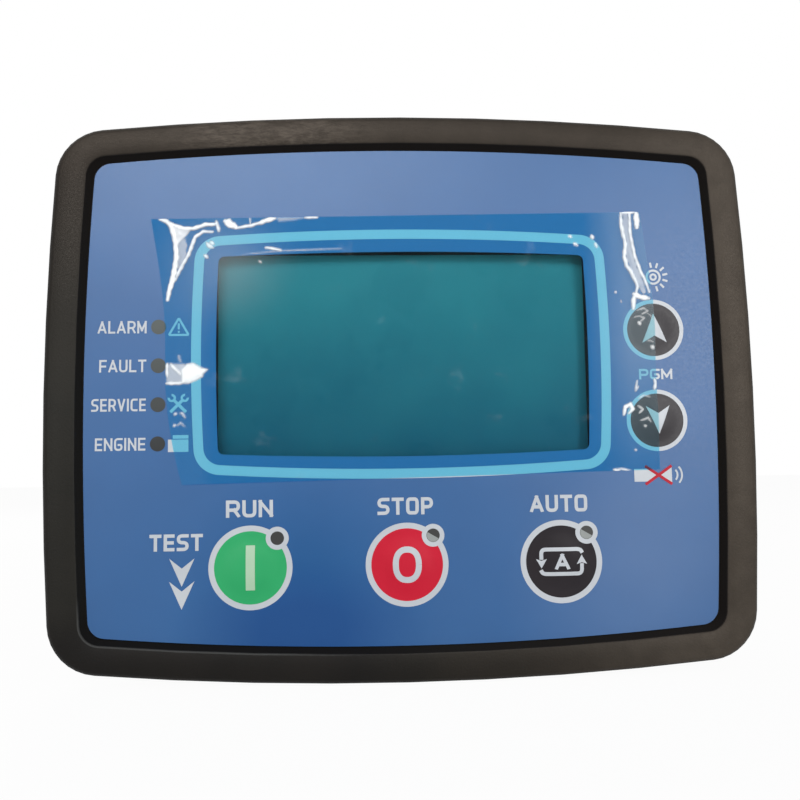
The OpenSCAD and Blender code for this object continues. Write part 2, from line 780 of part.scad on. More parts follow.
// Six-way modular jack with its latch notch, and its spring contacts
module serial_jack() color(dark_part) upright() translate([jack_x, row_y, 0]) difference() {
  block(jack_w, jack_h, rear_back - jack_l, rear_back);
  block(jack_w - 2 * jack_wall, jack_h - 3 * jack_wall,
        rear_back - jack_l - 1, rear_back - jack_wall, 0, -jack_wall / 2);
  block(latch_w, jack_h - 2 * jack_wall, rear_back - jack_l - 1, rear_back - jack_l / 2);
}
module jack_contacts() color([0.85, 0.70, 0.30]) upright() translate([jack_x, row_y, 0])
  for (i = [-2.5:2.5])
    block(contact_w, contact_w, rear_back - jack_l + contact_in, rear_back - jack_wall,
          i * contact_pitch, contact_w / 2 - jack_h / 2 + jack_wall);

// Side view of the rear housing: steps for the terminals above and below, hump in the middle
function rear_side(half, hump, step, back) = [
  [-half, 1], [-half, -step], [-hump, -step], [-hump + hump_slope, -back + hump_edge],
  [-hump + hump_slope + hump_edge, -back], [hump - hump_slope - hump_edge, -back],
  [hump - hump_slope, -back + hump_edge], [hump, -step], [half, -step], [half, 1],
];
module rear_form(w, half, hump, step, back)
  rotate([90, 0, 90]) linear_extrude(w, center = true) polygon(rear_side(half, hump, step, back));

module rear_housing() color(black_plastic) upright() {
  difference() {
    intersection() {
      slab(rounded_points(collar_w, collar_h, collar_r), -back_depth - 1, -collar_depth);
      rear_form(collar_w + 1, collar_h / 2 + 1, hump_y, step_depth, back_depth);
    }
    rear_form(in_w, in_h / 2, hump_y - wall, step_depth - wall, back_depth - wall);
    for (i = [0:len(upper_ways) - 1])
      block(plug_length(upper_ways[i]) + 2 * slot_play, header_y + 2 * slot_play, -back_depth, rear_back,
            plug_x(upper_start, upper_ways, i), row_y);
    for (i = [0:len(lower_ways) - 1])
      block(plug_length(lower_ways[i]) + 2 * slot_play, header_y + 2 * slot_play, -back_depth, rear_back,
            plug_x(lower_start, lower_ways, i), -row_y);
    block(jack_w + 2 * slot_play, jack_h + 2 * slot_play, -back_depth, rear_back, jack_x, row_y);
    for (j = [-1, 1]) block(collar_w + 2, tab_w + 2 * tab_play,
      -tab_back - tab_play, -tab_back + tab_h + tab_lip + 3 * tab_play, 0, j * tab_y);
    for (i = [-(vent_count - 1) / 2:(vent_count - 1) / 2])
      block(vent_w, 2 * hump_y + 2, -back_depth + hump_edge + wall, -step_depth - wall, i * vent_pitch);
    block(plate_w, plate_h, -back_depth - 1, -back_depth + plate_sunk);
  }
  difference() {
    slab(rounded_points(in_w + wall, in_h + wall, in_r), -collar_depth - root_l, -collar_depth);
    slab(rounded_points(tongue_w - 2 * tongue_t, tongue_d - 2 * tongue_t, in_r),
         -collar_depth - root_l - 1, 0);
  }
  difference() {
    slab(rounded_points(tongue_w, tongue_d, in_r), -collar_depth - eps, -collar_depth + tongue_l);
    slab(rounded_points(tongue_w - 2 * tongue_t, tongue_d - 2 * tongue_t, in_r), -collar_depth - 1, 0);
  }
  for (i = [-1, 1]) for (j = [0, 180]) rotate([0, 0, j])
    translate([i * snap_x - snap_w / 2, tongue_d / 2, 0]) rotate([90, 0, 90]) linear_extrude(snap_w)
      polygon([
        [-eps, snap_foot], [snap_depth, snap_foot],
        [snap_tip, snap_foot + snap_h], [-eps, snap_foot + snap_h],
      ]);
}

// Panel bracket: plate along the housing, two hooked tabs in its slots, threaded boss for the clamp screw
module bracket() {
  x = collar_w / 2 + bracket_gap;
  difference() {
    union() {
      translate([x, -bracket_half, -bracket_back])
        cube([bracket_t, 2 * bracket_half, bracket_back - bracket_front]);
      translate([x + bracket_t / 2, -bracket_half, -bracket_back])
        cube([clamp_reach + flange_out - bracket_t / 2, 2 * bracket_half, bracket_t]);
      translate([x + bracket_t / 2, -boss_web / 2, -bracket_back])
        cube([clamp_reach - bracket_t / 2, boss_web, bracket_back - bracket_front]);
      for (j = [-1, 1]) translate([0, j * (bracket_half - rib_t) - rib_t / 2, 0]) rotate([90, 0, 0])
        translate([0, 0, -rib_t]) linear_extrude(rib_t)
          polygon([
            [x + bracket_t - eps, -bracket_back + eps], [clamp_x, -bracket_back + eps],
            [clamp_x, -bracket_back + bracket_t], [x + bracket_t, -bracket_front - eps],
            [x + bracket_t - eps, -bracket_front - eps],
          ]);
      rod(boss_r, -bracket_back, -bracket_front, clamp_x);
    }
    rod(clamp_r + clamp_play, -bracket_back - 1, -bracket_front + 1, clamp_x);
  }
  for (j = [-1, 1]) translate([0, j * tab_y - tab_w / 2, 0]) {
    translate([in_w / 2 - tab_in, 0, -tab_back]) cube([wall + tab_in + bracket_gap + eps, tab_w, tab_h]);
    translate([in_w / 2 - tab_in, 0, -tab_back - tab_lip]) cube([tab_in - tab_play, tab_w, tab_lip + eps]);
  }
}
module right_bracket() color(dark_part) upright() bracket();
module left_bracket() color(dark_part) upright() rotate([0, 0, 180]) bracket();

module clamp_screw() difference() {
  union() {
    rod(clamp_r, -panel_t - clamp_l, -panel_t, clamp_x);
    rod(clamp_head_r, -panel_t - clamp_l - clamp_head_h, -panel_t - clamp_l + eps, clamp_x);
  }
  for (turn = [0, 90]) translate([clamp_x, 0, 0]) rotate([0, 0, turn])
    block(clamp_head_r * 1.2, clamp_slot,
          -panel_t - clamp_l - clamp_head_h - 1, -panel_t - clamp_l - clamp_head_h / 2);
}
module right_clamp_screw() color(steel) upright() clamp_screw();
module left_clamp_screw() color(steel) upright() rotate([0, 0, 180]) clamp_screw();

front_housing();
graphic_overlay();
protective_film();
panel_gasket();
run_button();
stop_button();
auto_button();
up_button();
down_button();
run_stem();
stop_stem();
auto_stem();
up_stem();
down_stem();
switch_bodies();
status_lamps();
key_lamps();
lamp_spacers();
display_frame();
display_glass();
backlight();
front_board();
processor();
crystal();
board_spacers();
board_screws();
link_header();
link_socket();
rear_board();
relays();
capacitors();
choke();
clock_cell();
upper_headers();
lower_headers();
header_pins();
upper_plug_a();
upper_plug_b();
upper_plug_c();
lower_plug_a();
lower_plug_b();
plug_screws();
wire_clamps();
serial_jack();
jack_contacts();
rear_housing();
left_bracket();
right_bracket();
left_clamp_screw();
right_clamp_screw();
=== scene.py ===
"""Panel-mounted generator-set controller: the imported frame, the finish of every piece, the printed
film with its keys and signs, the protective film over the display, and a plain studio."""
import json
from math import pi, radians

import bmesh
import bpy
import numpy as np
from mathutils import Matrix, Vector


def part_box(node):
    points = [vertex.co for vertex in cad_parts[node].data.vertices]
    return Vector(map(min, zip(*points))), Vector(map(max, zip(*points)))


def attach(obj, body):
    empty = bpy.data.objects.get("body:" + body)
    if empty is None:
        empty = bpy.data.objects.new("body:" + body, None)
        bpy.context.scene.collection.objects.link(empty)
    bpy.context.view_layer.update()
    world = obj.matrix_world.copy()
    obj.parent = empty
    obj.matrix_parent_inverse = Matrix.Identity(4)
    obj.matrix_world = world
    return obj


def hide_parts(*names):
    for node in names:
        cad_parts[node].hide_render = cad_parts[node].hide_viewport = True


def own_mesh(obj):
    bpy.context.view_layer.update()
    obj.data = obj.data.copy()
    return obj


# Frame and camera
# The controller stands upright with its face towards -Y. The photograph was taken close to the face,
# a little below its middle, so the upper part leans away and the bezel's sides open out.
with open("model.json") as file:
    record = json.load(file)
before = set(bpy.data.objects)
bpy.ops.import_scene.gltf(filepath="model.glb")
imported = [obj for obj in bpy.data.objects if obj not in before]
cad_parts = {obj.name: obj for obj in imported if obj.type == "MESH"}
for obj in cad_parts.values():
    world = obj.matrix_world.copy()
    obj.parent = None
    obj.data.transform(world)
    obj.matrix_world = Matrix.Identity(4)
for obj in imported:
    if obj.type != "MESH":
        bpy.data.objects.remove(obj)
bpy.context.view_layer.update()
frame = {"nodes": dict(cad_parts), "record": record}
scene = bpy.context.scene
scene.view_settings.view_transform = "Standard"
MM = 0.001
CAMERA_YAW, CAMERA_PITCH, CAMERA_ROLL = radians(2.36), radians(-4.71), radians(-0.89)
CAMERA_AIM = Vector((0, -7.3, 0)) * MM
CAMERA_OFFSET = Vector((0.88, 156.8, 1.58)) * MM
CAMERA_LENS, CAMERA_SENSOR, CAMERA_NEAR = 36, 36, 0.01

turn = (Matrix.Rotation(CAMERA_ROLL, 3, "Y") @ Matrix.Rotation(CAMERA_PITCH, 3, "X")
        @ Matrix.Rotation(CAMERA_YAW, 3, "Z"))
camera_data = bpy.data.cameras.new("camera")
camera_data.lens, camera_data.sensor_width, camera_data.clip_start = CAMERA_LENS, CAMERA_SENSOR, CAMERA_NEAR
camera = bpy.data.objects.new("camera", camera_data)
scene.collection.objects.link(camera)
camera.matrix_world = (Matrix.Translation(CAMERA_AIM - turn.transposed() @ CAMERA_OFFSET)
                       @ Matrix((turn[0], turn[2], -turn[1])).transposed().to_4x4())
scene.camera = camera

# Front housing
# One black ABS moulding: the bowed bezel, the plate behind the printed film and the collar that goes
# through the panel. Its face has a fine spark-eroded texture, rubbed paler along the top edge and dusty at
# the right and the bottom, both mixed with painted sheen, and a painted highlight as a pale line on the
# recess's rim low on the left. The recess's wall and the outer sides are darkened with painted shade, and
# the tint of the sheen is painted by place.
HOUSING_DARK, HOUSING_LIGHT = (0.0046, 0.0038, 0.0031, 1), (0.0088, 0.0071, 0.0057, 1)
WARM_SHEEN, COOL_SHEEN, LOW_SHEEN = (1.0, 0.86, 0.74, 1), (0.98, 1.0, 0.92, 1), (0.62, 0.64, 0.66, 1)
WALL_SHADE_COLOUR, WALL_ROUGH = (0.0030, 0.0026, 0.0026, 1), 0.85
RUB_AND_SHEEN_COLOUR, DUST_AND_SHEEN_COLOUR = (0.066, 0.055, 0.045, 1), (0.052, 0.043, 0.034, 1)
RIM_HIGHLIGHT_COLOUR = (0.040, 0.040, 0.038, 1)
BEZEL_LOW, BEZEL_HIGH = (np.array(corner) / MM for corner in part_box("front_housing"))
BEZEL_HALF, BEZEL_FACE = BEZEL_HIGH[[0, 2]], -BEZEL_LOW[1]
BEZEL_BOW, SIDE_MORE = (2.4, 3.8), 0.06
BAND_W, WALL_W, RIM_R = 6.1, 0.6, 0.4
RIM_REACH, RIM_DEPTH, RIM_BACK = 4 * RIM_R, RIM_R + 0.1, np.array([0.15, 0.40])

# Where each mark on the face starts and where it is full, in millimetres, and the shares there if they
# aren't 0 and 1. TOP, BOTTOM and DEPTH are measured from those faces, and the rest from the middle
RUB_AND_SHEEN_LEFT, RUB_AND_SHEEN_RIGHT, RUB_AND_SHEEN_TOP = (-49, -37), (-2, -20), (-8.5, -6)
DUST_AND_SHEEN_RIGHT, DUST_AND_SHEEN_TOP, DUST_AND_SHEEN_LOW = (28, 64, 0.0, 0.85), (-12, -5, 0.0, 0.36), (2, 50, 0.0, 0.38)
DUST_AND_SHEEN_BOTTOM, DUST_AND_SHEEN_DOWN = (8, 1.5, 0.15, 1.0), (-40, -46)
WARM_RIGHT, WARM_UP, DIM_DOWN, DIM_LEFT = (-40, 60), (0, 45), (-40, -47), (6, -10)
RIM_HIGHLIGHT_DOWN, RIM_HIGHLIGHT_LEFT = (-38, -43), (-8, -26)
FACE_DEPTH, RIM_HIGHLIGHT_DEPTH, RIM_HIGHLIGHT_END_DEPTH = (1.2, 0.1), (0.01, 0.06), (0.42, 0.25)
RIM_SHADE_DEPTH, EDGE_SHADE_DEPTH = (0.05, 0.35), (0.2, 0.8)

# What noise mostly covers, and what of it makes the streaks of the rubbing and the mottle of the dust, both
# mixed with painted sheen
NOISE_RANGE, STREAK_RANGE, DUST_AND_SHEEN_RANGE = (0.3, 0.7), (0.40, 0.66), (0.30, 0.65, 0.7, 1.05)


def set_inputs(tree, node, inputs):
    """Inputs of a node: a socket is linked, and a value is set."""
    for key, value in inputs.items():
        if isinstance(value, bpy.types.NodeSocket):
            tree.links.new(value, node.inputs[key])
        else:
            node.inputs[key].default_value = value


def add(tree, kind, inputs=None, **settings):
    """A new shader node with its settings and inputs."""
    made = tree.nodes.new("ShaderNode" + kind)
    for key, value in settings.items():
        setattr(made, key, value)
    set_inputs(tree, made, inputs or {})
    return made


def calc(tree, operation, a, b=0.0, clamp=False):
    """Output of one Math node."""
    return add(tree, "Math", {0: a, 1: b}, operation=operation, use_clamp=clamp).outputs[0]


def product(tree, *shares):
    """Shares multiplied together."""
    whole = shares[0]
    for share in shares[1:]:
        whole = calc(tree, "MULTIPLY", whole, share)
    return whole


def blend(tree, share, a, b):
    """Colour that goes from a to b as share goes from 0 to 1."""
    made = add(tree, "Mix", {0: share, 6: a, 7: b}, data_type="RGBA")
    return made.outputs[2]


def ramp(tree, value, low, high, to_low=0.0, to_high=1.0):
    """Value mapped from low...high to to_low...to_high, held at both ends."""
    return add(tree, "MapRange", {0: value, 1: low, 2: high, 3: to_low, 4: to_high}).outputs[0]


def over(tree, coordinate, low, high, to_low=0.0, to_high=1.0):
    """Ramp along a coordinate, from low to high in millimetres."""
    return ramp(tree, coordinate, low * MM, high * MM, to_low, to_high)


def axes(tree, place):
    """The X, Y and Z of a place."""
    return add(tree, "SeparateXYZ", {0: place}).outputs


def stretched(tree, place, scale):
    """A place scaled along each axis."""
    return add(tree, "Mapping", {"Vector": place, "Scale": scale}).outputs[0]


def noise(tree, place, scale, detail, roughness=0.5):
    """Cloudy noise from 0 to 1."""
    inputs = {"Vector": place, "Scale": scale, "Detail": detail, "Roughness": roughness}
    return add(tree, "TexNoise", inputs).outputs["Fac"]


def attribute(tree, name):
    """The values that mark has given to a piece's points."""
    return add(tree, "Attribute", attribute_name=name).outputs["Fac"]


def mark(piece, name, values):
    """Gives each point of a piece a value under a name."""
    piece.data.attributes.new(name, "FLOAT", "POINT").data.foreach_set("value", values.astype(np.float32))


def new_group(name, inputs, outputs):
    """Empty node group with its named sockets; returns it with its input and output nodes."""
    group = bpy.data.node_groups.new(name, "ShaderNodeTree")
    for socket, kind in inputs.items():
        group.interface.new_socket(socket, in_out="INPUT", socket_type=kind)
    for socket, kind in outputs.items():
        group.interface.new_socket(socket, in_out="OUTPUT", socket_type=kind)
    return group, group.nodes.new("NodeGroupInput").outputs, group.nodes.new("NodeGroupOutput").inputs


def use(tree, group, inputs):
    """A node group placed in a material with its own values."""
    return add(tree, "Group", inputs, node_tree=group).outputs


FLOAT, VECTOR = "NodeSocketFloat", "NodeSocketVector"

# Moulded grain: a fine pebble of the given size in millimetres, and a slow cloudiness of the surface
moulded_grain, given, result = new_group(
    "moulded_grain", {"Vector": VECTOR, "Size": FLOAT}, {"Height": FLOAT, "Cloud": FLOAT})
pebble_scale = calc(moulded_grain, "DIVIDE", 1 / MM, given["Size"])
pebble = noise(moulded_grain, given["Vector"], pebble_scale, 2.0, 0.6)
cloud = ramp(moulded_grain, noise(moulded_grain, given["Vector"], 70.0, 3.0), *NOISE_RANGE)
moulded_grain.links.new(pebble, result["Height"])
moulded_grain.links.new(cloud, result["Cloud"])


def opened(material):
    """A material's tree, its Principled shader and its Object coordinates."""
    tree = material.node_tree
    return tree, tree.nodes["Principled BSDF"], tree.nodes["Texture Coordinate"].outputs["Object"]


def new_material(name):
    """A node material, with what opened gives."""
    material = bpy.data.materials.new(name)
    material.use_nodes = True
    material.node_tree.nodes.new("ShaderNodeTexCoord")
    return material, *opened(material)


def moulded(name, dark, light, rough, grain, depth, shine=0.5):
    """Moulded plastic: colour clouded from dark to light, roughness over the range rough, and a grain
    of the given size and depth in millimetres."""
    material, tree, shader, place = new_material(name)
    grained = use(tree, moulded_grain, {"Vector": place, "Size": grain})
    bump = add(tree, "Bump", {"Height": grained["Height"], "Distance": depth * MM, "Strength": 1.0})
    set_inputs(tree, shader, {
        "Base Color": blend(tree, grained["Cloud"], dark, light), "Normal": bump.outputs[0],
        "Roughness": ramp(tree, grained["Height"], *NOISE_RANGE, *rough), "Specular IOR Level": shine})
    return material


WELD, FLAT_EDGE, SHARP_EDGE, BEVEL_STEPS = 1e-6, radians(0.5), radians(35), 2
record = frame["record"]
body_of = {node: body for body, nodes in record["behaviour"]["bodies"].items() for node in nodes}


def merged_copy(node, material, bevel=0.0):
    """A CAD node's shape with its loose triangles joined, flat faces made whole, edges over SHARP_EDGE
    kept sharp or eased by a bevel in millimetres; it stands for the node."""
    shape = frame["nodes"][node].data.copy()
    bm = bmesh.new()
    bm.from_mesh(shape)
    bmesh.ops.remove_doubles(bm, verts=bm.verts, dist=WELD)
    if bevel:
        bmesh.ops.dissolve_limit(bm, angle_limit=FLAT_EDGE, verts=bm.verts, edges=bm.edges)
    bm.to_mesh(shape)
    bm.free()
    if "custom_normal" in shape.attributes:
        shape.attributes.remove(shape.attributes["custom_normal"])
    shape.shade_smooth()
    shape.set_sharp_from_angle(angle=SHARP_EDGE)
    shape.materials.clear()
    shape.materials.append(material)
    made = bpy.data.objects.new(node + "_shell", shape)
    scene.collection.objects.link(made)
    if bevel:
        ease = made.modifiers.new("ease", "BEVEL")
        ease.width, ease.segments = bevel * MM, BEVEL_STEPS
        ease.limit_method, ease.angle_limit = "ANGLE", SHARP_EDGE
    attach(made, body_of[node])
    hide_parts(node)
    return made


def bow_radius(half_chord, bow):
    """Radius of an arc that bows out over a half chord."""
    return (half_chord ** 2 + bow ** 2) / (2 * bow)


def set_in(x, z):
    """Distance of points inside the bezel's outline, as the top and bottom bands measure it: the smaller
    of what is left of the side arc's radius, divided by 1 + SIDE_MORE, and of the end arc's."""
    (w, h), (side_bow, end_bow) = BEZEL_HALF, BEZEL_BOW
    side_r, end_r = bow_radius(h, side_bow), bow_radius(w, end_bow)
    side = side_r - np.hypot(np.abs(x) + side_r - w, z)
    end = end_r - np.hypot(x, np.abs(z) + end_r - h)
    return np.minimum(side / (1 + SIDE_MORE), end)


housing = moulded("housing_plastic", HOUSING_DARK, HOUSING_LIGHT, rough=(0.35, 0.48), grain=0.45, depth=0.03,
                  shine=0.18)
tree, shader, place = opened(housing)
x_at, y_at, z_at = axes(tree, place)
# The wall share: painted shade on the recess's wall and on the bezel's outer sides
wall = attribute(tree, "wall")
below_top = calc(tree, "SUBTRACT", z_at, BEZEL_HIGH[2] * MM)
above_bottom = calc(tree, "SUBTRACT", z_at, BEZEL_LOW[2] * MM)
behind = calc(tree, "ADD", y_at, BEZEL_FACE * MM)
on_face = over(tree, behind, *FACE_DEPTH)
# Rubbed paler along the top edge: scuffs with a painted sheen mixed into the colour
streaks = noise(tree, stretched(tree, place, (0.45, 1.0, 1.6)), 900.0, 5.0, 0.75)
rubbed_and_sheen = product(tree, on_face, over(tree, below_top, *RUB_AND_SHEEN_TOP), over(tree, x_at, *RUB_AND_SHEEN_LEFT),
                 over(tree, x_at, *RUB_AND_SHEEN_RIGHT), ramp(tree, streaks, *STREAK_RANGE))
# Dust at the right, along the top and low on the right, with painted sheen mixed in that pales these parts
low_dust_and_sheen = product(tree, over(tree, x_at, *DUST_AND_SHEEN_LOW), over(tree, above_bottom, *DUST_AND_SHEEN_BOTTOM),
                   over(tree, z_at, *DUST_AND_SHEEN_DOWN))
side_dust_and_sheen = calc(tree, "ADD", over(tree, x_at, *DUST_AND_SHEEN_RIGHT), low_dust_and_sheen, clamp=True)
dust_and_sheen = product(tree, on_face, calc(tree, "MAXIMUM", side_dust_and_sheen, over(tree, below_top, *DUST_AND_SHEEN_TOP)),
                ramp(tree, noise(tree, place, 260.0, 4.0, 0.6), *DUST_AND_SHEEN_RANGE))
# Painted highlight: a pale line along the recess's rim, low on the left
painted_rim_highlight = product(tree, attribute(tree, "inner"), over(tree, behind, *RIM_HIGHLIGHT_DEPTH),
                   over(tree, behind, *RIM_HIGHLIGHT_END_DEPTH), over(tree, z_at, *RIM_HIGHLIGHT_DOWN),
                   over(tree, x_at, *RIM_HIGHLIGHT_LEFT))
tone, rough = (shader.inputs[name].links[0].from_socket for name in ("Base Color", "Roughness"))
for share, colour in ((dust_and_sheen, DUST_AND_SHEEN_COLOUR), (rubbed_and_sheen, RUB_AND_SHEEN_COLOUR), (wall, WALL_SHADE_COLOUR),
                      (painted_rim_highlight, RIM_HIGHLIGHT_COLOUR)):
    tone = blend(tree, share, tone, colour)
# The sheen's tint is painted by place: warm at the right and top, cool at the left, and dimmed low on the
# left as painted shade
warm = calc(tree, "MAXIMUM", over(tree, x_at, *WARM_RIGHT), over(tree, z_at, *WARM_UP))
dim = product(tree, over(tree, z_at, *DIM_DOWN), over(tree, x_at, *DIM_LEFT))
set_inputs(tree, shader, {
    "Base Color": tone, "Roughness": add(tree, "Mix", {0: wall, 2: rough, 3: WALL_ROUGH}).outputs[0],
    "Specular Tint": blend(tree, dim, blend(tree, warm, COOL_SHEEN, WARM_SHEEN), LOW_SHEEN)})
bezel = merged_copy("front_housing", housing)
spots = np.zeros(len(bezel.data.vertices) * 3)
bezel.data.vertices.foreach_get("co", spots)
spots = spots.reshape(-1, 3) / MM
# Painted shade: the wall share grows with depth behind the face, on the recess's wall and the outer sides
back = BEZEL_FACE + spots[:, 1]
inner = set_in(spots[:, 0], spots[:, 2]) > BAND_W - RIM_REACH
mark(bezel, "wall", np.where(inner, np.interp(back, RIM_SHADE_DEPTH, (0, 1)),
                             np.interp(back, EDGE_SHADE_DEPTH, (0, 1))))
mark(bezel, "inner", inner)

# The recess's rim stands RIM_BACK further out at the sides and ends, so the wall below it slopes
rim = inner & (back < RIM_DEPTH)
spots[:, [0, 2]] *= np.where(rim[:, None], 1 + RIM_BACK / (BEZEL_HALF - BAND_W), 1)
bezel.data.vertices.foreach_set("co", spots.ravel() * MM)

# Panel gasket
# A closed ring of black cellular rubber, die-cut and stuck in the channel behind the bezel.
foam = moulded("foam_rubber", (0.010, 0.010, 0.010, 1), (0.022, 0.022, 0.022, 1), rough=(0.8, 0.95),
               grain=0.8, depth=0.12, shine=0.2)
merged_copy("panel_gasket", foam)

# Boards and what is soldered to them
# Two green glass-fibre boards on hexagon spacers, with relays, cans, a choke and a clock cell between
# them and the back. They are closed in, so each has a plain finish of its own.
BOARD_GREEN, BOARD_TRACK, TRACK_RANGE = (0.006, 0.075, 0.030, 1), (0.012, 0.13, 0.05, 1), (0.25, 0.3)
DRAWN_W, WORN_SHARE = 0.12, 0.8


def dress(material, *nodes):
    """Gives CAD nodes their finish."""
    for node in nodes:
        slots = frame["nodes"][node].data.materials
        slots.clear()
        slots.append(material)


def metal(name, colour, rough):
    """Metal with a fine drawn texture: roughness over the range rough along streaks DRAWN_W wide."""
    material, tree, shader, place = new_material(name)
    drawn = noise(tree, stretched(tree, place, (1.0, 0.08, 1.0)), 1 / (DRAWN_W * MM), 2.0)
    worn = tuple(WORN_SHARE * c for c in colour[:3]) + (1,)
    set_inputs(tree, shader, {"Base Color": blend(tree, drawn, worn, colour), "Metallic": 1.0,
                              "Roughness": ramp(tree, drawn, *NOISE_RANGE, *rough)})
    return material


board = moulded("circuit_board", BOARD_GREEN, BOARD_GREEN, rough=(0.3, 0.45), grain=0.6, depth=0.02)
tree, shader, place = opened(board)
tracks = add(tree, "TexVoronoi", {"Vector": place, "Scale": 450.0}, distance="MANHATTAN")
between = ramp(tree, tracks.outputs["Distance"], *TRACK_RANGE)
set_inputs(tree, shader, {"Base Color": blend(tree, between, BOARD_TRACK, BOARD_GREEN)})
steel = metal("plated_steel", (0.62, 0.63, 0.65, 1), (0.22, 0.42))
brass = metal("brass_spacer", (0.65, 0.50, 0.25, 1), (0.25, 0.45))
tinned = metal("tinned_brass", (0.66, 0.62, 0.50, 1), (0.25, 0.45))
gold = metal("gold_contact", (0.83, 0.62, 0.26, 1), (0.15, 0.3))
dark = moulded("dark_plastic", (0.014, 0.014, 0.015, 1), (0.026, 0.026, 0.028, 1), rough=(0.4, 0.6),
               grain=0.4, depth=0.02, shine=0.4)
relay_case = moulded("relay_plastic", (0.02, 0.07, 0.25, 1), (0.03, 0.09, 0.30, 1), rough=(0.3, 0.45),
                     grain=0.3, depth=0.01)
can_sleeve = moulded("can_sleeve", (0.015, 0.015, 0.05, 1), (0.02, 0.02, 0.07, 1), rough=(0.25, 0.35),
                     grain=0.5, depth=0.005)
winding = moulded("choke_wire", (0.15, 0.05, 0.02, 1), (0.26, 0.09, 0.035, 1), rough=(0.2, 0.4), grain=0.4,
                  depth=0.05)
dress(board, "front_board", "rear_board")
dress(dark, "processor", "link_header", "link_socket", "lamp_spacers", "switch_bodies")
dress(steel, "crystal", "board_screws", "clock_cell", "display_frame")
dress(brass, "board_spacers")
dress(relay_case, "relays")
dress(can_sleeve, "capacitors")
dress(winding, "choke")

# Keys and lamps
# White push buttons behind the film stand on the stems of short-travel switches. The lamps are
# smoked resin with a round nose, just behind their windows in the film.
KEYS = ("run", "stop", "auto", "up", "down")
white = moulded("white_plastic", (0.70, 0.70, 0.67, 1), (0.78, 0.78, 0.75, 1), rough=(0.35, 0.5), grain=0.5,
                depth=0.01)
resin = moulded("lamp_resin", (0.10, 0.09, 0.075, 1), (0.16, 0.14, 0.12, 1), rough=(0.12, 0.25), grain=1.5,
                depth=0.004)
dress(white, "backlight", *(key + "_button" for key in KEYS))
dress(dark, *(key + "_stem" for key in KEYS))
dress(resin, "status_lamps", "key_lamps")

# Display
# A liquid-crystal cell under a grey-green polariser, unlit. It is painted paler towards its top, a painted
# reflection of the room, and faintly uneven.
LCD_LOW, LCD_HIGH, LCD_FOOT, LCD_HEAD = (0.018, 0.117, 0.145, 1), (0.072, 0.250, 0.230, 1), 3 * MM, 6 * MM
LCD_UNEVEN, LCD_ROUGH, LCD_SHINE = (-0.14, 0.14), (0.24, 0.34), 0.1
lcd, tree, shader, place = new_material("display_glass")
low, high = (corner.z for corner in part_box("display_glass"))
mottle = noise(tree, place, 60.0, 3.0)
height = calc(tree, "ADD", ramp(tree, axes(tree, place)["Z"], low + LCD_FOOT, high - LCD_HEAD),
              ramp(tree, mottle, *NOISE_RANGE, *LCD_UNEVEN), clamp=True)
set_inputs(tree, shader, {
    "Base Color": blend(tree, height, LCD_LOW, LCD_HIGH), "Specular IOR Level": LCD_SHINE,
    "Roughness": ramp(tree, mottle, *NOISE_RANGE, *LCD_ROUGH)})
dress(lcd, "display_glass")

# Printed film
# One sheet of polyester, printed blue from behind, laid in the bezel's recess. Its window over the
# display is left clear, and a shallow dome is pressed into it over each key.
FILM_TOP = -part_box("protective_film")[1].y / MM
FILM_T = 0.2
DOME_H = -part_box("graphic_overlay")[0].y / MM - FILM_TOP
DOME_R = {"run": 5.9, "stop": 5.9, "auto": 5.9, "up": 4.8, "down": 4.8}
DOME_SHOULDER = 4.0
FILM_GAP, FILM_CORNER, FILM_SIDE_MORE = 0.1, 3.4, 0.10
WINDOW_HALF, WINDOW_BOW, WINDOW_CORNER, WINDOW_Z = (36.7, 20.3), (0.5, 0.9), 1.2, 7.75
FILM_BLUE, FILM_BLUE_PALE = (0.006, 0.078, 0.235, 1), (0.008, 0.086, 0.254, 1)
FILM_BLUE_WET, FILM_BLUE_SHADED = (0.020, 0.135, 0.290, 1), (0.0045, 0.060, 0.212, 1)
FILM_SHINE, SATIN, SATIN_GRAIN, WETTED, RIPPLE = 0.56, (0.34, 0.42), 0.6, 0.60, 0.25
PEEL_LEFT, PEEL_RIGHT, PEEL_TOP, PEEL_BOTTOM = -49.5, 50.2, 34.8, -17.5
PEEL_FLARE, PEEL_SWING = 3.0, 26.0
PEEL_DRIFT, PEEL_DRIFT_TOP, PEEL_SLANT = 3.4, 6.0, 1.6
PEEL_RISE, PEEL_LEAN, PEEL_BEND = 1.2, 2.0, 17.9
ARC_STEPS, SHEET_ROWS, PANE_ROWS = 24, 12, 10


def middle(node):
    """Centre of a CAD node as the operator sees it: x and z in millimetres."""
    low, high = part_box(node)
    return np.array([low.x + high.x, low.z + high.z]) / 2 / MM


key_at = {key: middle(key + "_button") for key in KEYS}


def film_face(x, z):
    """Height of the printed film's face above the panel at x, z. It is flat, and over each key it rises
    by DOME_H * q * q * (3 - 2 q), where q goes from 0 at the dome's foot to 1 across its shoulder."""
    rise = np.zeros(np.shape(x))
    for key, (kx, kz) in key_at.items():
        q = np.clip((DOME_R[key] - np.hypot(x - kx, z - kz)) / DOME_SHOULDER, 0, 1)
        rise = rise + DOME_H * q * q * (3 - 2 * q)
    return FILM_TOP + rise


def spokes(angle):
    """Points at angles on a circle of radius 1."""
    return np.stack([np.cos(angle), np.sin(angle)], -1)


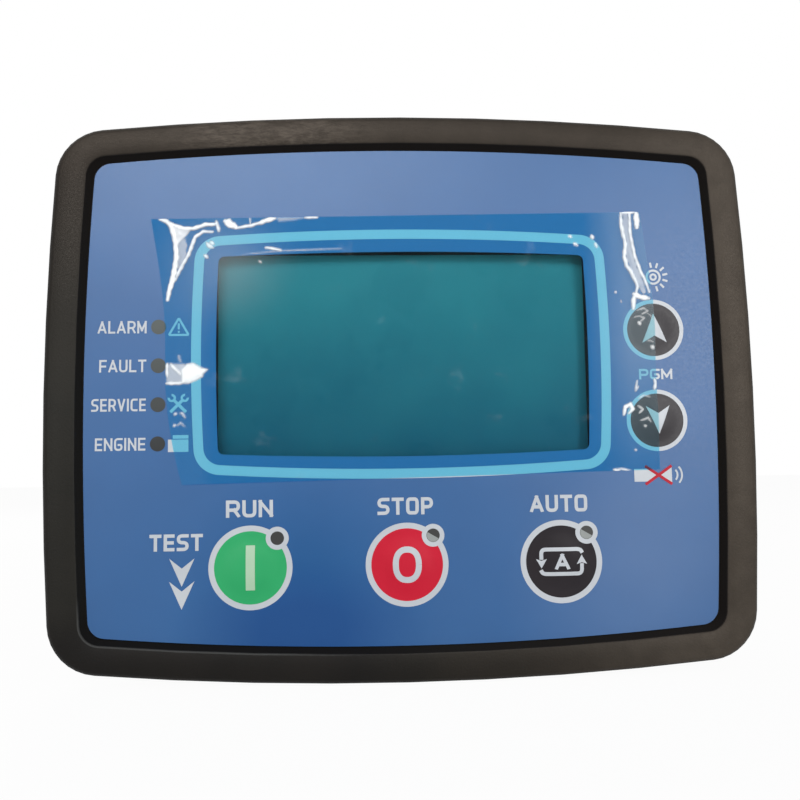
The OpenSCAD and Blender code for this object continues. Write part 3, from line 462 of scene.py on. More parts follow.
def bowed_outline(half, bow, corner, inset=0.0, centre=(0.0, 0.0), side_more=0.0):
    """Closed outline, anticlockwise, of four long arcs and four corner arcs, set in by inset, and by the
    share side_more more at the sides. A corner's centre lies where the side arc and the end arc, both set
    in by the corner's radius more, cross."""
    (w, h), (side_bow, end_bow) = half, bow
    side_r, end_r, side_in = bow_radius(h, side_bow), bow_radius(w, end_bow), inset * (1 + side_more)
    side_c, end_c = w - side_r, h - end_r
    a, b, span = side_r - side_in - corner, end_r - inset - corner, np.hypot(side_c, end_c)
    along = (a * a - b * b + span * span) / (2 * span)
    up = np.array([-side_c, end_c]) / span
    p = np.array([side_c, 0]) + along * up + np.sqrt(a * a - along * along) * np.array([-up[1], up[0]])
    s, e = np.arctan2(p[1], p[0] - side_c), np.arctan2(p[1] - end_c, p[0])
    step = np.arange(ARC_STEPS) / ARC_STEPS
    arcs = [((side_c, 0), side_r - side_in, -s, s), (p, corner, s, e),
            ((0, end_c), end_r - inset, e, pi - e), ((-p[0], p[1]), corner, pi - e, pi - s)]
    half_turn = np.concatenate([np.array(c) + r * spokes(f + (t - f) * step) for c, r, f, t in arcs])
    return np.concatenate([half_turn, -half_turn]) + centre


def grid_faces(rows, cols, closed=False):
    """Quads of a grid of points, row by row; closed joins the last column to the first."""
    i, j = np.meshgrid(np.arange(rows - 1), np.arange(cols if closed else cols - 1), indexing="ij")
    k = (j + 1) % cols
    return np.stack([i * cols + j, i * cols + k, (i + 1) * cols + k, (i + 1) * cols + j], -1).reshape(-1, 4)


def new_piece(name, points, faces, slot, *materials):
    """Object from points in millimetres and their faces, carried by the controller."""
    shape = bpy.data.meshes.new(name)
    shape.from_pydata((np.asarray(points) * MM).tolist(), [], [list(face) for face in faces])
    shape.shade_smooth()
    for material in materials:
        shape.materials.append(material)
    made = bpy.data.objects.new(name, shape)
    scene.collection.objects.link(made)
    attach(made, "controller")
    return made


def raised(flat, height):
    """Points of the face, x and z, set at a height above the panel."""
    return np.stack(np.broadcast_arrays(flat[..., 0], -height, flat[..., 1]), -1)


# Where the protective film lies on the printed film: 1 inside its edges. Its left edge swings in below
# the top corner by PEEL_FLARE * sin(t * pi / 2), as t goes from 0 to 1 over PEEL_SWING, and further in by
# PEEL_DRIFT * t * t from PEEL_DRIFT_TOP down. Its top and bottom edges rise to the right, and its right edge
# leans in above PEEL_BEND
covered, given, result = new_group("covered", {"Vector": VECTOR}, {"Share": FLOAT})
x_at, y_at, z_at = axes(covered, given["Vector"])
fall = over(covered, z_at, PEEL_TOP, PEEL_TOP - PEEL_SWING, 0.0, pi / 2)
drift = over(covered, z_at, PEEL_DRIFT_TOP, PEEL_BOTTOM)
left_edge = calc(covered, "ADD", product(covered, calc(covered, "SINE", fall), PEEL_FLARE * MM),
                 product(covered, drift, drift, PEEL_DRIFT * MM))
right_edge = over(covered, z_at, PEEL_BEND, PEEL_TOP + PEEL_RISE,
                  PEEL_RIGHT * MM, (PEEL_RIGHT - PEEL_LEAN) * MM)
top_edge, bottom_edge = (
    over(covered, x_at, PEEL_LEFT, PEEL_RIGHT, start * MM, (start + rise) * MM)
    for start, rise in ((PEEL_TOP, PEEL_RISE), (PEEL_BOTTOM, PEEL_SLANT)))
from_left = calc(covered, "SUBTRACT", x_at, PEEL_LEFT * MM)
covered.links.new(
    product(covered, calc(covered, "GREATER_THAN", from_left, left_edge),
            calc(covered, "LESS_THAN", x_at, right_edge),
            calc(covered, "GREATER_THAN", z_at, bottom_edge),
            calc(covered, "LESS_THAN", z_at, top_edge)), result["Share"])


def printed(name, colour, pale, wet=None, shine=FILM_SHINE):
    """Ink behind satin polyester: colour clouded towards pale, satin where the film is bare. Where the
    protective film lies on it the satin is filled, so it is smooth and its full colour, wet, shows."""
    material, tree, shader, place = new_material(name)
    grained = use(tree, moulded_grain, {"Vector": place, "Size": SATIN_GRAIN})
    under = use(tree, covered, {"Vector": place})["Share"]
    tone = blend(tree, grained["Cloud"], colour, pale)
    bare = ramp(tree, grained["Height"], *NOISE_RANGE, *SATIN)
    ripple = noise(tree, place, 28.0, 2.0)
    bump = add(tree, "Bump", {"Height": ripple, "Distance": RIPPLE * MM, "Strength": 1.0})
    set_inputs(tree, shader, {
        "Base Color": blend(tree, under, tone, wet or colour), "Normal": bump.outputs[0],
        "Roughness": add(tree, "Mix", {0: under, 2: bare, 3: WETTED}).outputs[0],
        "Specular IOR Level": shine})
    return material


def patch(tree, place, centre, near, far, upright=1.0):
    """1 within near millimetres of a point of the face, falling to 0 at far; heights count upright times."""
    apart = add(tree, "VectorMath", {0: place, 1: (centre[0] * MM, 0, centre[1] * MM)},
                operation="SUBTRACT").outputs[0]
    apart = add(tree, "VectorMath", {0: apart, 1: (1, 0, upright)}, operation="MULTIPLY").outputs[0]
    length = add(tree, "VectorMath", {0: apart}, operation="LENGTH").outputs["Value"]
    return over(tree, length, near, far, 1.0, 0.0)


def show_mix(tree, output, share, first, second):
    """Puts on a tree's output the mix that goes from one shader to another as share goes from 0 to 1."""
    mixed = add(tree, "MixShader", {0: share, 1: first.outputs[0], 2: second.outputs[0]})
    set_inputs(tree, tree.nodes[output], {"Surface": mixed.outputs[0]})


# The blue is painted deeper low on the left, a painted shade for a dark reflection there, and the satin is
# duller there and glossier low on the right
SHADE_AT, SHADE_REACH, DULL_REACH, DULLER = (-20, -45), (8, 24, 1.8), (8, 26, 0.8), -0.28
GLOSSY_AT, GLOSSY_REACH, GLOSSIER = (44, -40), (6, 26), 0.30
blue_film = printed("printed_film", FILM_BLUE, FILM_BLUE_PALE, FILM_BLUE_WET)
tree, shader, place = opened(blue_film)
tone = shader.inputs["Base Color"].links[0].from_socket
dull = product(tree, patch(tree, place, SHADE_AT, *DULL_REACH), DULLER)
gloss = product(tree, patch(tree, place, GLOSSY_AT, *GLOSSY_REACH), GLOSSIER)
# Painted shade: a deeper blue low on the left
set_inputs(tree, shader, {
    "Base Color": blend(tree, patch(tree, place, SHADE_AT, *SHADE_REACH), tone, FILM_BLUE_SHADED),
    "Specular IOR Level": calc(tree, "ADD", calc(tree, "ADD", dull, gloss), FILM_SHINE)})
film_outline = bowed_outline(BEZEL_HALF, BEZEL_BOW, FILM_CORNER, BAND_W + WALL_W + FILM_GAP,
                             side_more=FILM_SIDE_MORE)
window_outline = bowed_outline(WINDOW_HALF, WINDOW_BOW, WINDOW_CORNER, 0, (0, WINDOW_Z))
spread = np.concatenate([[0], np.linspace(0, 1, SHEET_ROWS), [1]])[:, None, None]
sheet = film_outline + (window_outline - film_outline) * spread
edge = np.concatenate([[FILM_TOP - FILM_T], np.full(SHEET_ROWS, FILM_TOP), [FILM_TOP - FILM_T]])[:, None]
overlay = new_piece("printed_sheet", raised(sheet, edge).reshape(-1, 3),
                    grid_faces(len(spread), len(film_outline), True), "printed_film", blue_film)
overlay.data.set_sharp_from_angle(angle=SHARP_EDGE)

WINDOW_GREY, WINDOW_ROUGH, WINDOW_SHINE = (0.30, 0.36, 0.36, 1), 0.08, 0.2
WINDOW_TINT, SMEAR = (0.97, 0.98, 0.98, 1), (0.4, 0.8, 0.0, 0.03)
clear, tree, shader, place = new_material("window_film")
set_inputs(tree, shader, {
    "Base Color": WINDOW_GREY, "Roughness": WINDOW_ROUGH, "Specular IOR Level": WINDOW_SHINE})
see = add(tree, "BsdfTransparent", {"Color": WINDOW_TINT})
show_mix(tree, "Material Output", ramp(tree, noise(tree, place, 90.0, 4.0), *SMEAR), see, shader)
shrink = np.linspace(1, 0, PANE_ROWS)[:, None, None]
pane = (window_outline - (0, WINDOW_Z)) * shrink + (0, WINDOW_Z)
new_piece("display_window", raised(pane, FILM_TOP - FILM_T / 2).reshape(-1, 3),
          grid_faces(len(shrink), len(window_outline), True), "printed_film", clear)
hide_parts("graphic_overlay")

# Key faces
# The keys are printed on the domes: a coloured disc inside a white ring, each face with a mesh of its own.
RING_R = {"run": 8.0, "stop": 8.0, "auto": 8.0, "up": 6.1, "down": 6.1}
DISC_R = {"run": 6.92, "stop": 6.92, "auto": 6.92, "up": 5.3, "down": 5.3}
WHITE_INK, WHITE_INK_PALE = (0.445, 0.472, 0.505, 1), (0.50, 0.527, 0.56, 1)
WHITE_INK_WET = (0.42, 0.52, 0.54, 1)
INKS = {
    "run": ((0.014, 0.32, 0.105, 1), (0.022, 0.36, 0.125, 1)),
    "stop": ((0.50, 0.007, 0.026, 1), (0.56, 0.011, 0.035, 1)),
    "auto": ((0.018, 0.015, 0.018, 1), (0.026, 0.022, 0.025, 1)),
}
INK_SHINE = {"run": 0.30, "stop": 0.18, "auto": 0.09, "arrow": 0.30}
RING_LIFT, SIGN_LIFT = 0.02, 0.035


def polar(radii, cols):
    """Disc about the origin: rings of points from the outer radius inwards, and one point at the pole."""
    circle = spokes(np.arange(cols) / cols * 2 * pi)
    points = np.concatenate([(np.asarray(radii)[:, None, None] * circle).reshape(-1, 2), [[0, 0]]])
    last = (len(radii) - 1) * cols + np.arange(cols)
    fan = np.stack([last, np.roll(last, -1), np.full(cols, len(points) - 1)], -1)
    return points, grid_faces(len(radii), cols, True).tolist() + fan.tolist()


def sink_with(obj):
    """Gives a piece a mesh of its own."""
    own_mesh(obj)


white_ink = printed("white_print", WHITE_INK, WHITE_INK_PALE, WHITE_INK_WET)
inks = {name: printed(name + "_key_print", *pair, shine=INK_SHINE[name]) for name, pair in INKS.items()}
inks["up"] = inks["down"] = printed("arrow_key_print", *INKS["auto"], shine=INK_SHINE["arrow"])
RING_ROWS, DISC_ROWS, KEY_COLS = 4, 26, 96
for key, (kx, kz) in key_at.items():
    radii = np.concatenate([np.linspace(RING_R[key], DISC_R[key], RING_ROWS),
                            np.linspace(DISC_R[key], 0, DISC_ROWS)[1:-1]])
    flat, faces = polar(radii, KEY_COLS)
    flat = flat + (kx, kz)
    face = new_piece(key + "_face", raised(flat, film_face(*flat.T) + RING_LIFT), faces,
                     "printed_film", white_ink, inks[key])
    coloured = (np.arange(len(faces)) >= (RING_ROWS - 1) * KEY_COLS).astype(np.int32)
    face.data.polygons.foreach_set("material_index", coloured)
    sink_with(face)

# Signs
# White ink behind the film: the frame round the display, the words, the arrows and the small
# pictures beside the lamps and keys. The words are drawn in plain square strokes with rounded turns.
STROKE_STEP, STROKE_LAYERS, TURN_STEPS = 0.0015, 8, 7
SAME_PLACE, NO_AREA = 1e-6, 1e-5
LETTER_STROKE, SMALL_STROKE, LETTER_GAP, LETTER_TURN = 0.2, 0.155, 0.13, 0.24

# Letters on a square of side 1: the share of a full width, then each stroke from point to point
LETTERS = {
    "A": (0.98, [(0, 0), (0.5, 1)], [(0.5, 1), (1, 0)], [(0.22, 0.27), (0.78, 0.27)]),
    "C": (0.82, [(1, 1), (0, 1), (0, 0), (1, 0)]),
    "E": (0.75, [(0, 0), (0, 1)], [(0, 1), (1, 1)], [(0, 0.5), (0.9, 0.5)], [(0, 0), (1, 0)]),
    "F": (0.75, [(0, 0), (0, 1)], [(0, 1), (1, 1)], [(0, 0.47), (0.9, 0.47)]),
    "G": (0.90, [(1, 1), (0, 1), (0, 0), (1, 0), (1, 0.46), (0.55, 0.46)]),
    "I": (0.0, [(0, 0), (0, 1)]),
    "L": (0.72, [(0, 0), (0, 1)], [(0, 0), (1, 0)]),
    "M": (1.05, [(0, 0), (0, 1)], [(0, 1), (0.5, 0.2)], [(0.5, 0.2), (1, 1)], [(1, 0), (1, 1)]),
    "N": (0.90, [(0, 0), (0, 1)], [(0, 1), (1, 0)], [(1, 0), (1, 1)]),
    "O": (0.92, [(0.5, 1), (0, 1), (0, 0), (0.5, 0)], [(0.5, 0), (1, 0), (1, 1), (0.5, 1)]),
    "P": (0.85, [(0, 0), (0, 0.6)], [(0, 0.4), (0, 1)], [(0, 1), (1, 1), (1, 0.42), (0, 0.42)]),
    "R": (0.88, [(0, 0), (0, 1)], [(0, 1), (1, 1), (1, 0.42), (0, 0.42)], [(0.62, 0.42), (1, 0)]),
    "S": (0.85, [(1, 1), (0, 1), (0, 0.5), (1, 0.5), (1, 0), (0, 0)]),
    "T": (0.85, [(0, 1), (1, 1)], [(0.5, 0), (0.5, 1)]),
    "U": (0.88, [(0, 1), (0, 0), (1, 0), (1, 1)]),
    "V": (0.92, [(0, 1), (0.5, 0)], [(0.5, 0), (1, 1)]),
}


def triangles(quads):
    """Two triangles for each quad."""
    return np.concatenate([quads[:, :3], quads[:, [0, 2, 3]]])


def ribbon(path, width):
    """Band along a path: each point goes half the width to both sides, along the mean normal there."""
    path = np.asarray(path, float)
    along = np.gradient(path, axis=0)
    along /= np.linalg.norm(along, axis=1)[:, None]
    side = np.stack([-along[:, 1], along[:, 0]], -1) * width / 2
    return np.concatenate([path - side, path + side]), triangles(grid_faces(2, len(path)))


def ring(centre, radius, width, start=0.0, end=2 * pi, steps=40):
    """Arc of a circle, as a band of the given width inside the radius."""
    spoke = spokes(np.linspace(start, end, steps))
    points = np.concatenate([radius * spoke, (radius - width) * spoke]) + centre
    return points, triangles(grid_faces(2, steps))


def disc(centre, radius, steps=40):
    """Round spot: a fan about its centre."""
    points = np.concatenate([radius * spokes(np.arange(steps) / steps * 2 * pi), [[0, 0]]]) + centre
    rim = np.arange(steps)
    return points, np.stack([rim, np.roll(rim, -1), np.full(steps, steps)], -1)


def arrow(tip, tail, half, notch):
    """Swallow-tailed arrow head from its tip to the middle of its tails: half as wide to each side, with a
    notch cut back between the tails."""
    tip, tail = np.asarray(tip, float), np.asarray(tail, float)
    ahead = (tip - tail) / np.linalg.norm(tip - tail)
    side = half * np.array([-ahead[1], ahead[0]])
    return np.array([tail + side, tail + notch * ahead, tail - side, tip]), np.array([(0, 1, 3), (1, 2, 3)])


def eased(path, turn):
    """Path whose corners are rounded: each becomes a parabola between points at most turn before and
    after it, (1 - t) (1 - t) a + 2 t (1 - t) b + t t c."""
    path = np.asarray(path, float)
    before, at, after = path[:-2, None], path[1:-1, None], path[2:, None]
    reach = [np.minimum(turn / np.linalg.norm(p - at, axis=-1, keepdims=True), 0.5) for p in (before, after)]
    a, c = at + (before - at) * reach[0], at + (after - at) * reach[1]
    t = np.linspace(0, 1, TURN_STEPS)[None, :, None]
    curve = (1 - t) ** 2 * a + 2 * t * (1 - t) * at + t * t * c
    whole = np.concatenate([path[:1], curve.reshape(-1, 2), path[-1:]])
    apart = np.linalg.norm(np.diff(whole, axis=0), axis=1) > SAME_PLACE
    return whole[np.concatenate([[True], apart])]


def words(text, centre, cap, width, anchor=0.5, weight=LETTER_STROKE):
    """Capitals as bands along their strokes, whose open ends reach half a stroke further, cut off at the
    cap height. The widths of the letters share what the gaps and strokes leave of the width. The anchor is
    the share of the width that lies left of the given point, and the weight is a stroke's share of the cap
    height."""
    stroke, gap = weight * cap, LETTER_GAP * cap
    shares = [LETTERS[letter][0] for letter in text]
    unit = (width - gap * (len(text) - 1) - stroke * len(text)) / sum(shares)
    signs, start = [], -anchor * width
    for letter, share in zip(text, shares):
        for path in LETTERS[letter][1:]:
            path = np.array(path, float) * (share * unit, cap - stroke)
            path = eased(path, LETTER_TURN * cap) if len(path) > 2 else path
            ends = path[[0, -1]] - path[[1, -2]]
            path[[0, -1]] += ends / np.linalg.norm(ends, axis=1)[:, None] * stroke / 2
            points, faces = ribbon(path + (start + stroke / 2, stroke / 2), stroke)
            points[:, 1] = np.clip(points[:, 1], 0, cap)
            signs.append((points + centre - (0, cap / 2), faces))
        start += share * unit + stroke + gap
    return signs


def cut_up(points, faces, times):
    """Corners of the triangles of a flat sign, all turned to the viewer, each cut into four as many times as
    given, then welded. Triangles with no area are dropped."""
    corner = np.asarray(points)[faces]
    a, b = corner[:, 1] - corner[:, 0], corner[:, 2] - corner[:, 0]
    area = a[:, 0] * b[:, 1] - a[:, 1] * b[:, 0]
    corner = np.where(area[:, None, None] < 0, corner[:, ::-1], corner)[np.abs(area) > NO_AREA]
    for _ in range(times):
        mid = (corner + np.roll(corner, -1, 1)) / 2
        outer = [np.stack([corner[:, i], mid[:, i], mid[:, i - 1]], 1) for i in range(3)]
        corner = np.concatenate([mid] + outer)
    flat, index = np.unique(corner.reshape(-1, 2).round(6), axis=0, return_inverse=True)
    return flat, index.reshape(-1, 3)


def print_signs(name, signs, material, lift=SIGN_LIFT, cuts=0):
    """One piece from flat signs, set on the film's face. Each sign lies STROKE_STEP above the one before
    it, in turns of STROKE_LAYERS, so that crossing strokes don't share a plane."""
    parts = [cut_up(points, faces, cuts) for points, faces in signs]
    starts = np.cumsum([0] + [len(flat) for flat, _ in parts])
    faces = np.concatenate([faces + start for (_, faces), start in zip(parts, starts)])
    solid = np.concatenate([raised(flat, film_face(*flat.T) + lift + STROKE_STEP * (i % STROKE_LAYERS))
                            for i, (flat, _) in enumerate(parts)])
    return new_piece(name, solid, faces.tolist(), "printed_film", material)


FRAME_HALF, FRAME_BOW, FRAME_AT = (41.3, 24.7), (1.0, 1.6), (-0.2, 7.85)
FRAME_W, FRAME_CORNER, FRAME_INNER_CORNER = 1.9, 5.2, 3.4
frame_band = np.concatenate([
    bowed_outline(FRAME_HALF, FRAME_BOW, corner, inset, FRAME_AT)
    for corner, inset in ((FRAME_CORNER, 0.0), (FRAME_INNER_CORNER, FRAME_W))])
print_signs("display_ring", [(frame_band, triangles(grid_faces(2, len(frame_band) // 2, True)))], white_ink)

LAMP_FLANGE_R = 1.75
status_low, status_high = (corner.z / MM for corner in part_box("status_lamps"))
status_x = middle("status_lamps")[0]
status_z = np.linspace(status_high - LAMP_FLANGE_R, status_low + LAMP_FLANGE_R, 4)
STATUS_WORDS = (("ALARM", 9.4), ("FAULT", 9.0), ("SERVICE", 10.4), ("ENGINE", 9.6))
KEY_WORDS = {"run": ("RUN", 9.0), "stop": ("STOP", 10.8), "auto": ("AUTO", 11.3)}
LOOSE_WORDS = (("TEST", (-44.1, -28.4), 3.2, 10.1), ("PGM", (50.1, 3.0), 2.1, 6.7))
STATUS_END, STATUS_CAP, KEY_WORD_AT, KEY_CAP = -50.1, 2.45, (-0.2, -22.2), 3.3
TEST_ARROW_X, TEST_ARROW_Z, TEST_ARROW_H, TEST_ARROW_HALF, TEST_NOTCH = -43, (-31.4, -35.7), 5.3, 2.4, 1.9
signs = []
for (text, width), z in zip(STATUS_WORDS, status_z):
    signs += words(text, (STATUS_END, z), STATUS_CAP, width, 1.0, SMALL_STROKE)
for key, (text, width) in KEY_WORDS.items():
    signs += words(text, (key_at[key][0] + KEY_WORD_AT[0], KEY_WORD_AT[1]), KEY_CAP, width)
for loose in LOOSE_WORDS:
    signs += words(*loose)
signs += [arrow((TEST_ARROW_X, z - TEST_ARROW_H), (TEST_ARROW_X, z), TEST_ARROW_HALF, TEST_NOTCH)
          for z in TEST_ARROW_Z]
print_signs("words_and_arrows", signs, white_ink)

# Pictures beside the status lamps: a triangle, crossed spanners and a generator block
icon_x, ICON_LINE = -43.9, 0.42
triangle = np.array([(-1.9, -1.6), (1.9, -1.6), (0, 1.7), (-1.9, -1.6)]) + (icon_x, status_z[0])
signs = [ribbon(triangle[i:i + 2], ICON_LINE) for i in range(3)]
signs += [ribbon([(icon_x, status_z[0] + 0.7), (icon_x, status_z[0] - 0.5)], 0.4),
          disc((icon_x, status_z[0] - 1.0), 0.22, 12)]
for lean in (-1, 1):
    shaft = np.array([(-1.5 * lean, -1.5), (0.9 * lean, 0.9)]) + (icon_x, status_z[2])
    jaw = (icon_x + 1.25 * lean, status_z[2] + 1.25)
    opening = pi / 4 if lean > 0 else 3 * pi / 4
    signs += [ribbon(shaft, 0.6), ring(jaw, 0.8, 0.45, opening + 0.7, opening + 2 * pi - 0.7, 20)]
signs += [ribbon([(icon_x - 1.9, status_z[3] - 0.4), (icon_x + 2.0, status_z[3] - 0.4)], 2.4),
          ribbon([(icon_x - 1.0, status_z[3] + 1.3), (icon_x + 2.0, status_z[3] + 1.3)], 0.7)]

# Pictures beside the up and down keys: a lamp with rays, and a horn with a cross through it
lamp_at, horn_at = np.array([50.4, 22.6]), np.array([50.0, -17.0])
signs += [ring(lamp_at, 1.55, ICON_LINE), ring(lamp_at, 0.75, 0.4)]
for spoke in spokes(np.linspace(-1.3, 1.75, 7)):
    signs.append(ribbon([lamp_at + 1.95 * spoke, lamp_at + 3.0 * spoke], ICON_LINE))
bow_tie = horn_at + [(-2.4, -1.25), (0, -0.3), (2.5, -1.45), (2.5, 1.45), (0, 0.3), (-2.4, 1.25)]
signs += [ribbon(horn_at + [(-5.0, 0), (-2.4, 0)], 2.5),
          (bow_tie, np.array([(0, 1, 4), (0, 4, 5), (1, 2, 3), (1, 3, 4)]))]
signs += [ring(horn_at + (2.2, 0), radius, 0.36, -0.75, 0.75, 12) for radius in (1.6, 2.5)]
print_signs("lamp_and_key_pictures", signs, white_ink)
RED_INK, CROSS_LIFT = ((0.40, 0.006, 0.022, 1), (0.45, 0.009, 0.028, 1)), SIGN_LIFT + 0.02
red_ink = printed("red_print", *RED_INK, shine=INK_SHINE["stop"])
cross = [ribbon(horn_at + [(-2.8, side * 1.8), (2.5, -side * 1.8)], 0.55) for side in (-1, 1)]
print_signs("horn_cross", cross, red_ink, CROSS_LIFT)

# Signs on the keys, each with a mesh of its own: a bar, a ring, a letter between two arrows, and the arrow
# heads
run, stop, auto, up, down = (key_at[key] for key in KEYS)
half_loop = np.array([(4.1, 1.6), (3.7, 2.35), (-3.95, 2.35), (-3.95, 0.4)])
loop = [ribbon(auto + side * eased(half_loop, 0.9), 0.74) for side in (1, -1)]
loop += [arrow(auto + (side * 3.95, side * 1.25), auto + (side * 3.95, -side * 0.55), 1.05, 0.35)
         for side in (-1, 1)]
oval = spokes(np.linspace(0, 2 * pi, 49))
oval = np.sign(oval) * np.abs(oval) ** 0.85 * (2.22, 2.90)
key_signs = {
    "run": [ribbon(run + [(0, -4.25), (0, 4.25)], 1.75)],
    "stop": [ribbon(stop + oval, 1.15)],
    "auto": loop + words("A", auto + (0.1, 0.0), 3.1, 2.9, weight=0.22),
    "up": [arrow(up + (0, 3.3), up + (0.1, -2.6), 2.5, 1.4)],
    "down": [arrow(down + (0.3, -2.7), down + (0.2, 2.9), 2.4, 1.5)],
}
pale_green = printed("run_bar_print", (0.36, 0.52, 0.36, 1), (0.40, 0.56, 0.40, 1))
arrow_ink = printed("arrow_print", WHITE_INK, WHITE_INK_PALE, (0.68, 0.52, 0.46, 1))
sign_ink = {"run": pale_green, "stop": white_ink, "auto": white_ink, "up": arrow_ink, "down": arrow_ink}
for key, signs in key_signs.items():
    sink_with(print_signs(key + "_sign", signs, sign_ink[key], cuts=3))

# Lamp windows
# Round spots left unprinted in the film, over the resin noses of the lamps. The status lamps' are smoky
# grey, darker lower down. The key lamps' are black, with a white ear printed round each.
STATUS_WINDOW_R, KEY_WINDOW_R, EAR_R = 1.45, 1.3, 2.2
SMOKE_LOW, SMOKE_HIGH, SMOKE_SHINE = (0.012, 0.014, 0.016, 1), (0.070, 0.082, 0.078, 1), 0.32
EAR_LIFT, GLINT_LIFT = SIGN_LIFT + 0.015, SIGN_LIFT + 0.03
GLINT_R, GLINT_FROM, GLINT_TO = 0.95 * KEY_WINDOW_R, radians(150), radians(330)
key_lamp_at = np.stack([np.linspace(*(corner.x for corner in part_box("key_lamps")), 3) / MM,
                        np.full(3, middle("key_lamps")[1])], -1)
key_lamp_at[:, 0] += (LAMP_FLANGE_R, 0, -LAMP_FLANGE_R)
smoked = printed("lamp_window", SMOKE_LOW, SMOKE_LOW, shine=SMOKE_SHINE)
tree, shader, place = opened(smoked)
upper = over(tree, axes(tree, place)["Z"], status_low, status_high)
set_inputs(tree, shader, {"Base Color": blend(tree, upper, SMOKE_LOW, SMOKE_HIGH)})
black = printed("key_lamp_window", (0.004, 0.004, 0.0035, 1), (0.008, 0.008, 0.007, 1))
glint = printed("painted_lamp_glint", (0.20, 0.22, 0.21, 1), (0.28, 0.30, 0.29, 1))
print_signs("status_windows", [disc((status_x, z), STATUS_WINDOW_R) for z in status_z], smoked)
ears = [ring(spot, EAR_R, EAR_R - KEY_WINDOW_R) for spot in key_lamp_at]
print_signs("key_lamp_ears", ears, white_ink, EAR_LIFT)
print_signs("key_lamp_windows", [disc(spot, KEY_WINDOW_R) for spot in key_lamp_at], black, EAR_LIFT)

# A painted reflection shows in the stop and auto lamps, as a pale segment below a slanting line
segment = GLINT_R * spokes(np.linspace(GLINT_FROM, GLINT_TO, ARC_STEPS))
shade = np.concatenate([segment, np.linspace(segment[0], segment[-1], ARC_STEPS)])
glints = [(shade + spot, triangles(grid_faces(2, ARC_STEPS))) for spot in key_lamp_at[1:]]
print_signs("painted_lamp_glints", glints, glint, GLINT_LIFT)

# Protective film
# A thin sky-blue peel-off film, still stuck over the display and the inner half of the up and down
# keys. It has lifted into folds at its top corners, and its creases carry painted white glints.
PEEL_GAP, PEEL_STEP, PEEL_WAVE, PEEL_LIFT_MOST = 0.08, 0.24, 0.012, 1.0
PEEL_TINT, PEEL_IOR, PEEL_ROUGH = (0.50, 0.85, 0.98, 1), 1.17, (0.12, 0.26)
CREASE_GLINT_WHITE, CREASE_SHARE, SMUDGE = (0.93, 0.96, 0.97, 1), 0.94, (0.62, 0.80, 0.0, 0.07)
CREASE_BLUR, CREASE_RAGGED, CREASE_END, FACET_SLOPE = 0.5, 0.2, 0.55, 0.8
FOLD_TAPER, CREASE_TAPER = 0.1, 0.2


def away_from(path, x, z):
    """Distance of every grid point from a path of straight stretches, and the share of the path passed."""
    path = np.asarray(path, float)
    a, d = path[:-1], np.diff(path, axis=0)
    length = np.hypot(*d.T)
    t = ((x[..., None] - a[:, 0]) * d[:, 0] + (z[..., None] - a[:, 1]) * d[:, 1]) / length ** 2
    t = np.clip(t, 0, 1)
    off = np.hypot(x[..., None] - a[:, 0] - t * d[:, 0], z[..., None] - a[:, 1] - t * d[:, 1])
    nearest = off.argmin(-1)[..., None]
    passed = (np.concatenate([[0], np.cumsum(length)])[:-1] + t * length) / length.sum()
    return np.take_along_axis(off, nearest, -1)[..., 0], np.take_along_axis(passed, nearest, -1)[..., 0]


def taper(t, ends):
    """1 along a fold, falling to 0 at both of its ends."""
    return np.clip(t / ends, 0, 1) * np.clip((1 - t) / ends, 0, 1)


